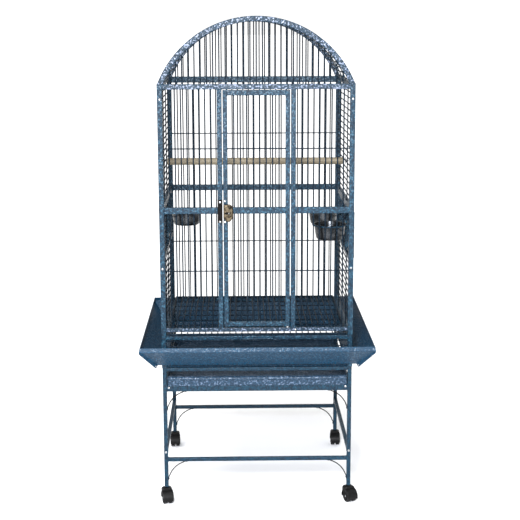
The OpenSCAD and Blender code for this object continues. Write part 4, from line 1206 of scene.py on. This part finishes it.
def caster(key):
    """Twin-wheel swivel caster: shouldered hood over a web, grip-ring stem, axle, and two spoked wheels."""
    sx, sy = CORNERS[key]
    at = Matrix.Translation((sx * PX, sy * PY, 0)) @ Matrix.Rotation(math.radians(SWIVELS[key]), 4, "Z")
    axle = at @ Matrix.Translation((TRAIL, 0, WHEEL_R))
    across = Matrix.Rotation(math.radians(90), 4, "X")
    hood_r, hood_w, clear_r = 24.0, 36.0, WHEEL_R + 1.3
    fender = Shape()
    low_angle = math.asin(-6 / hood_r)
    w = hood_w / 2
    half = [(w, clear_r), (w, hood_r - 1.6), (w - 0.5, hood_r - 0.6), (w - 1.6, hood_r - 0.1), (w - 5, hood_r)]
    profile = half + [(-v, r) for v, r in reversed(half)]
    steps = 40
    rings = []
    for k in range(steps + 1):
        a = low_angle + (math.pi - 2 * low_angle) * k / steps
        radial = Vector((math.cos(a), 0, math.sin(a)))
        ease = 0.95 if k in (0, steps) else 1.0
        rings.append([Y * (v * ease) + radial * r for v, r in profile])
    fender.skin(rings)
    disc = [(clear_r + 0.4) * Vector((math.cos(a), math.sin(a))) for a in
            (low_angle + (math.pi - 2 * low_angle) * k / 32 for k in range(33))]
    fender.put(prism([(p.x, p.y) for p in disc], X, Z, Vector((0, -WEB / 2, 0)), Y * WEB))
    s = Shape()
    s.put(fender, axle)

    # shoulder block under the leg, its underside following the wheels
    def section(x, ease):
        under = math.sqrt(max(0.0, clear_r ** 2 - (x - TRAIL) ** 2))
        bottom = max(WHEEL_R + 6, WHEEL_R + under)
        v, top = 17 - ease, LEG_Z0 - 2.5 - ease
        side = [(v, bottom), (v, top - 7), (v - 0.9, top - 4.4), (v - 2.6, top - 2.2), (v - 4.6, top - 0.8),
                (v - 7, top)]
        return [(x, a, z) for a, z in side + [(-a, z) for a, z in reversed(side)]]

    block = Shape()
    ends = ((0.0, 1.8), (0.4, 0.8), (1.6, 0.0))
    stations = [(-11 + d, e) for d, e in ends] + [(-6 + 3 * k, 0.0) for k in range(6)]
    stations += [(13 - d, e) for d, e in reversed(ends)]
    block.skin([section(x, e) for x, e in stations])
    s.put(block, at)
    stem = [(0, 44), (4.0, 44), (4.0, 73.0), (3.7, 76.5), (2.4, 78.0), (0, 78.0)]
    s.put(turned(stem, 32), at)
    piece(f"caster_body_{key}", s, NYLON, f"caster_hood_{key}", body=f"caster_{key}", slot="caster_nylon")
    pin = Shape()
    reach = WHEEL_W + WEB / 2 + 1.0
    half = [(0, reach), (1.9, reach), (2.5, reach - 0.6)]
    pin.put(turned([(r, -v) for r, v in half] + half[::-1], 24), axle @ across)
    piece(f"caster_pin_{key}", pin, ZINC, f"caster_axle_{key}", body=f"caster_{key}", slot="zinc_plate")
    wheels = Shape()
    h = WHEEL_W / 2
    rim = [(2.56, h), (5.2, h), (6.0, h - 0.7), (6.4, h - 3.0), (14.6, h - 3.0), (15.4, h - 0.5), (16.6, h),
           (18.4, h - 0.1), (19.5, h - 0.9), (19.95, h - 2.1), (20.0, h - 4.2)]
    full = rim + [(r, -v) for r, v in reversed(rim)]
    spoke, spokes = rounded_rect(10.0, 1.8, 0.5, 2), 6
    for side in (-1, 1):
        one = Shape()
        one.put(turned(full, 48, closed=True))
        for k in range(spokes):
            for face in (-1, 1):
                rib = prism(spoke, X, Y, Vector((10.6, 0, face * (h - 3.3))), Z * (face * 2.0))
                one.put(rib, Matrix.Rotation(math.tau * k / spokes + 0.3 * side, 4, "Z"))
        wheels.put(one, axle @ Matrix.Translation((0, side * (WEB / 2 + 0.5 + h), 0)) @ across)
    piece(f"caster_rollers_{key}", wheels, TREAD, f"caster_wheels_{key}", body=f"wheels_{key}", slot="caster_nylon")


# ---------- build ----------

stand_end("stand_front_tubes", "stand_front_frame", -PY)
stand_end("stand_rear_tubes", "stand_rear_frame", PY)
stand_sides()
scrolls()
leg_plugs()
frame_screws()
skirts()
posts()
base_rails()
pull_out_tray()
floor_grille()
front_rails()
front_bays()
rear_wall()
side_walls()
arches()
dome()
door()
lock()
keeper()
for which in ("left", "right", "front"):
    feeder(which)
perch()
for key in CORNERS:
    caster(key)

# CAD nodes that stay in the picture as they are, with their finish
for node, material in (("door_pins", ZINC), ("feeder_pins", ZINC), ("feeder_catches", BLUE)):
    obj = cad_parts[node]
    obj.data.materials.clear()
    obj.data.materials.append(material)


# ---------- floor, lights and camera ----------

def stage_floor():
    mesh = bpy.data.meshes.new("studio_floor")
    far = 160.0
    mesh.from_pydata([(-far, -far, 0), (far, -far, 0), (far, far, 0), (-far, far, 0)], [], [(0, 1, 2, 3)])
    obj = new_object("studio_floor", mesh)
    m = Nodes("pale_floor", Specular_IOR_Level=0.1)
    m.colour(m.mix(m.noise(3.0, 2.0), (0.86, 0.86, 0.86), (0.89, 0.89, 0.89)))
    m.rough(m.ramp(m.noise(40.0), ((0.0, 0.8), (1.0, 0.9))))
    mesh.materials.append(m.material)


def soft_sun(name, azimuth, elevation, spread, power):
    """Distant soft light. The azimuth runs from the front towards +X."""
    data = bpy.data.lights.new(name, "SUN")
    data.energy, data.angle = power, math.radians(spread)
    a, e = math.radians(azimuth), math.radians(elevation)
    source = Vector((math.sin(a) * math.cos(e), -math.cos(a) * math.cos(e), math.sin(e)))
    new_object(name, data).rotation_euler = source.to_track_quat("Z", "Y").to_euler()


def studio_room(ambient, backdrop):
    """White surroundings that light the cage at one strength and are seen behind it at another."""
    world = bpy.data.worlds.new("studio")
    bpy.context.scene.world = world
    world.use_nodes = True
    tree = world.node_tree
    room = tree.nodes["Background"]
    room.inputs["Color"].default_value = (1, 1, 1, 1)
    seen = tree.nodes.new("ShaderNodeLightPath").outputs["Is Camera Ray"]
    level = tree.nodes.new("ShaderNodeMapRange")
    level.inputs["To Min"].default_value = ambient
    level.inputs["To Max"].default_value = backdrop
    tree.links.new(seen, level.inputs["Value"])
    tree.links.new(level.outputs["Result"], room.inputs["Strength"])


def disk_light(name, place, target, size, power, colour):
    """Round lamp at a place, turned to its target."""
    data = bpy.data.lights.new(name, "AREA")
    data.shape, data.size, data.energy, data.color = "DISK", size, power, colour
    obj = new_object(name, data)
    obj.location = place
    obj.rotation_euler = (Vector(target) - Vector(place)).to_track_quat("-Z", "Y").to_euler()


stage_floor()
studio_room(ambient=0.8, backdrop=1.1)
soft_sun("top", azimuth=-22, elevation=62, spread=40, power=3.0)
disk_light("key", (-0.35, -3.6, 1.85), target=(0, 0, 0.9), size=0.6, power=290, colour=(0.92, 0.94, 1.0))

EYE = (-0.0603, -3.985, 1.5387)
YAW, PITCH_DOWN, ROLL = -0.0189, 0.1948, -0.0028
LENS, SENSOR = 83.1, 36.0
view = bpy.data.cameras.new("photo_view")
view.sensor_width = SENSOR
view.lens = LENS
camera = new_object("photo_view", view)
camera.matrix_world = (Matrix.Translation(EYE) @ Matrix.Rotation(YAW, 4, "Z")
                       @ Matrix.Rotation(math.pi / 2 - PITCH_DOWN, 4, "X") @ Matrix.Rotation(ROLL, 4, "Z"))
bpy.context.scene.camera = camera
bpy.context.scene.view_settings.view_transform = "Standard"
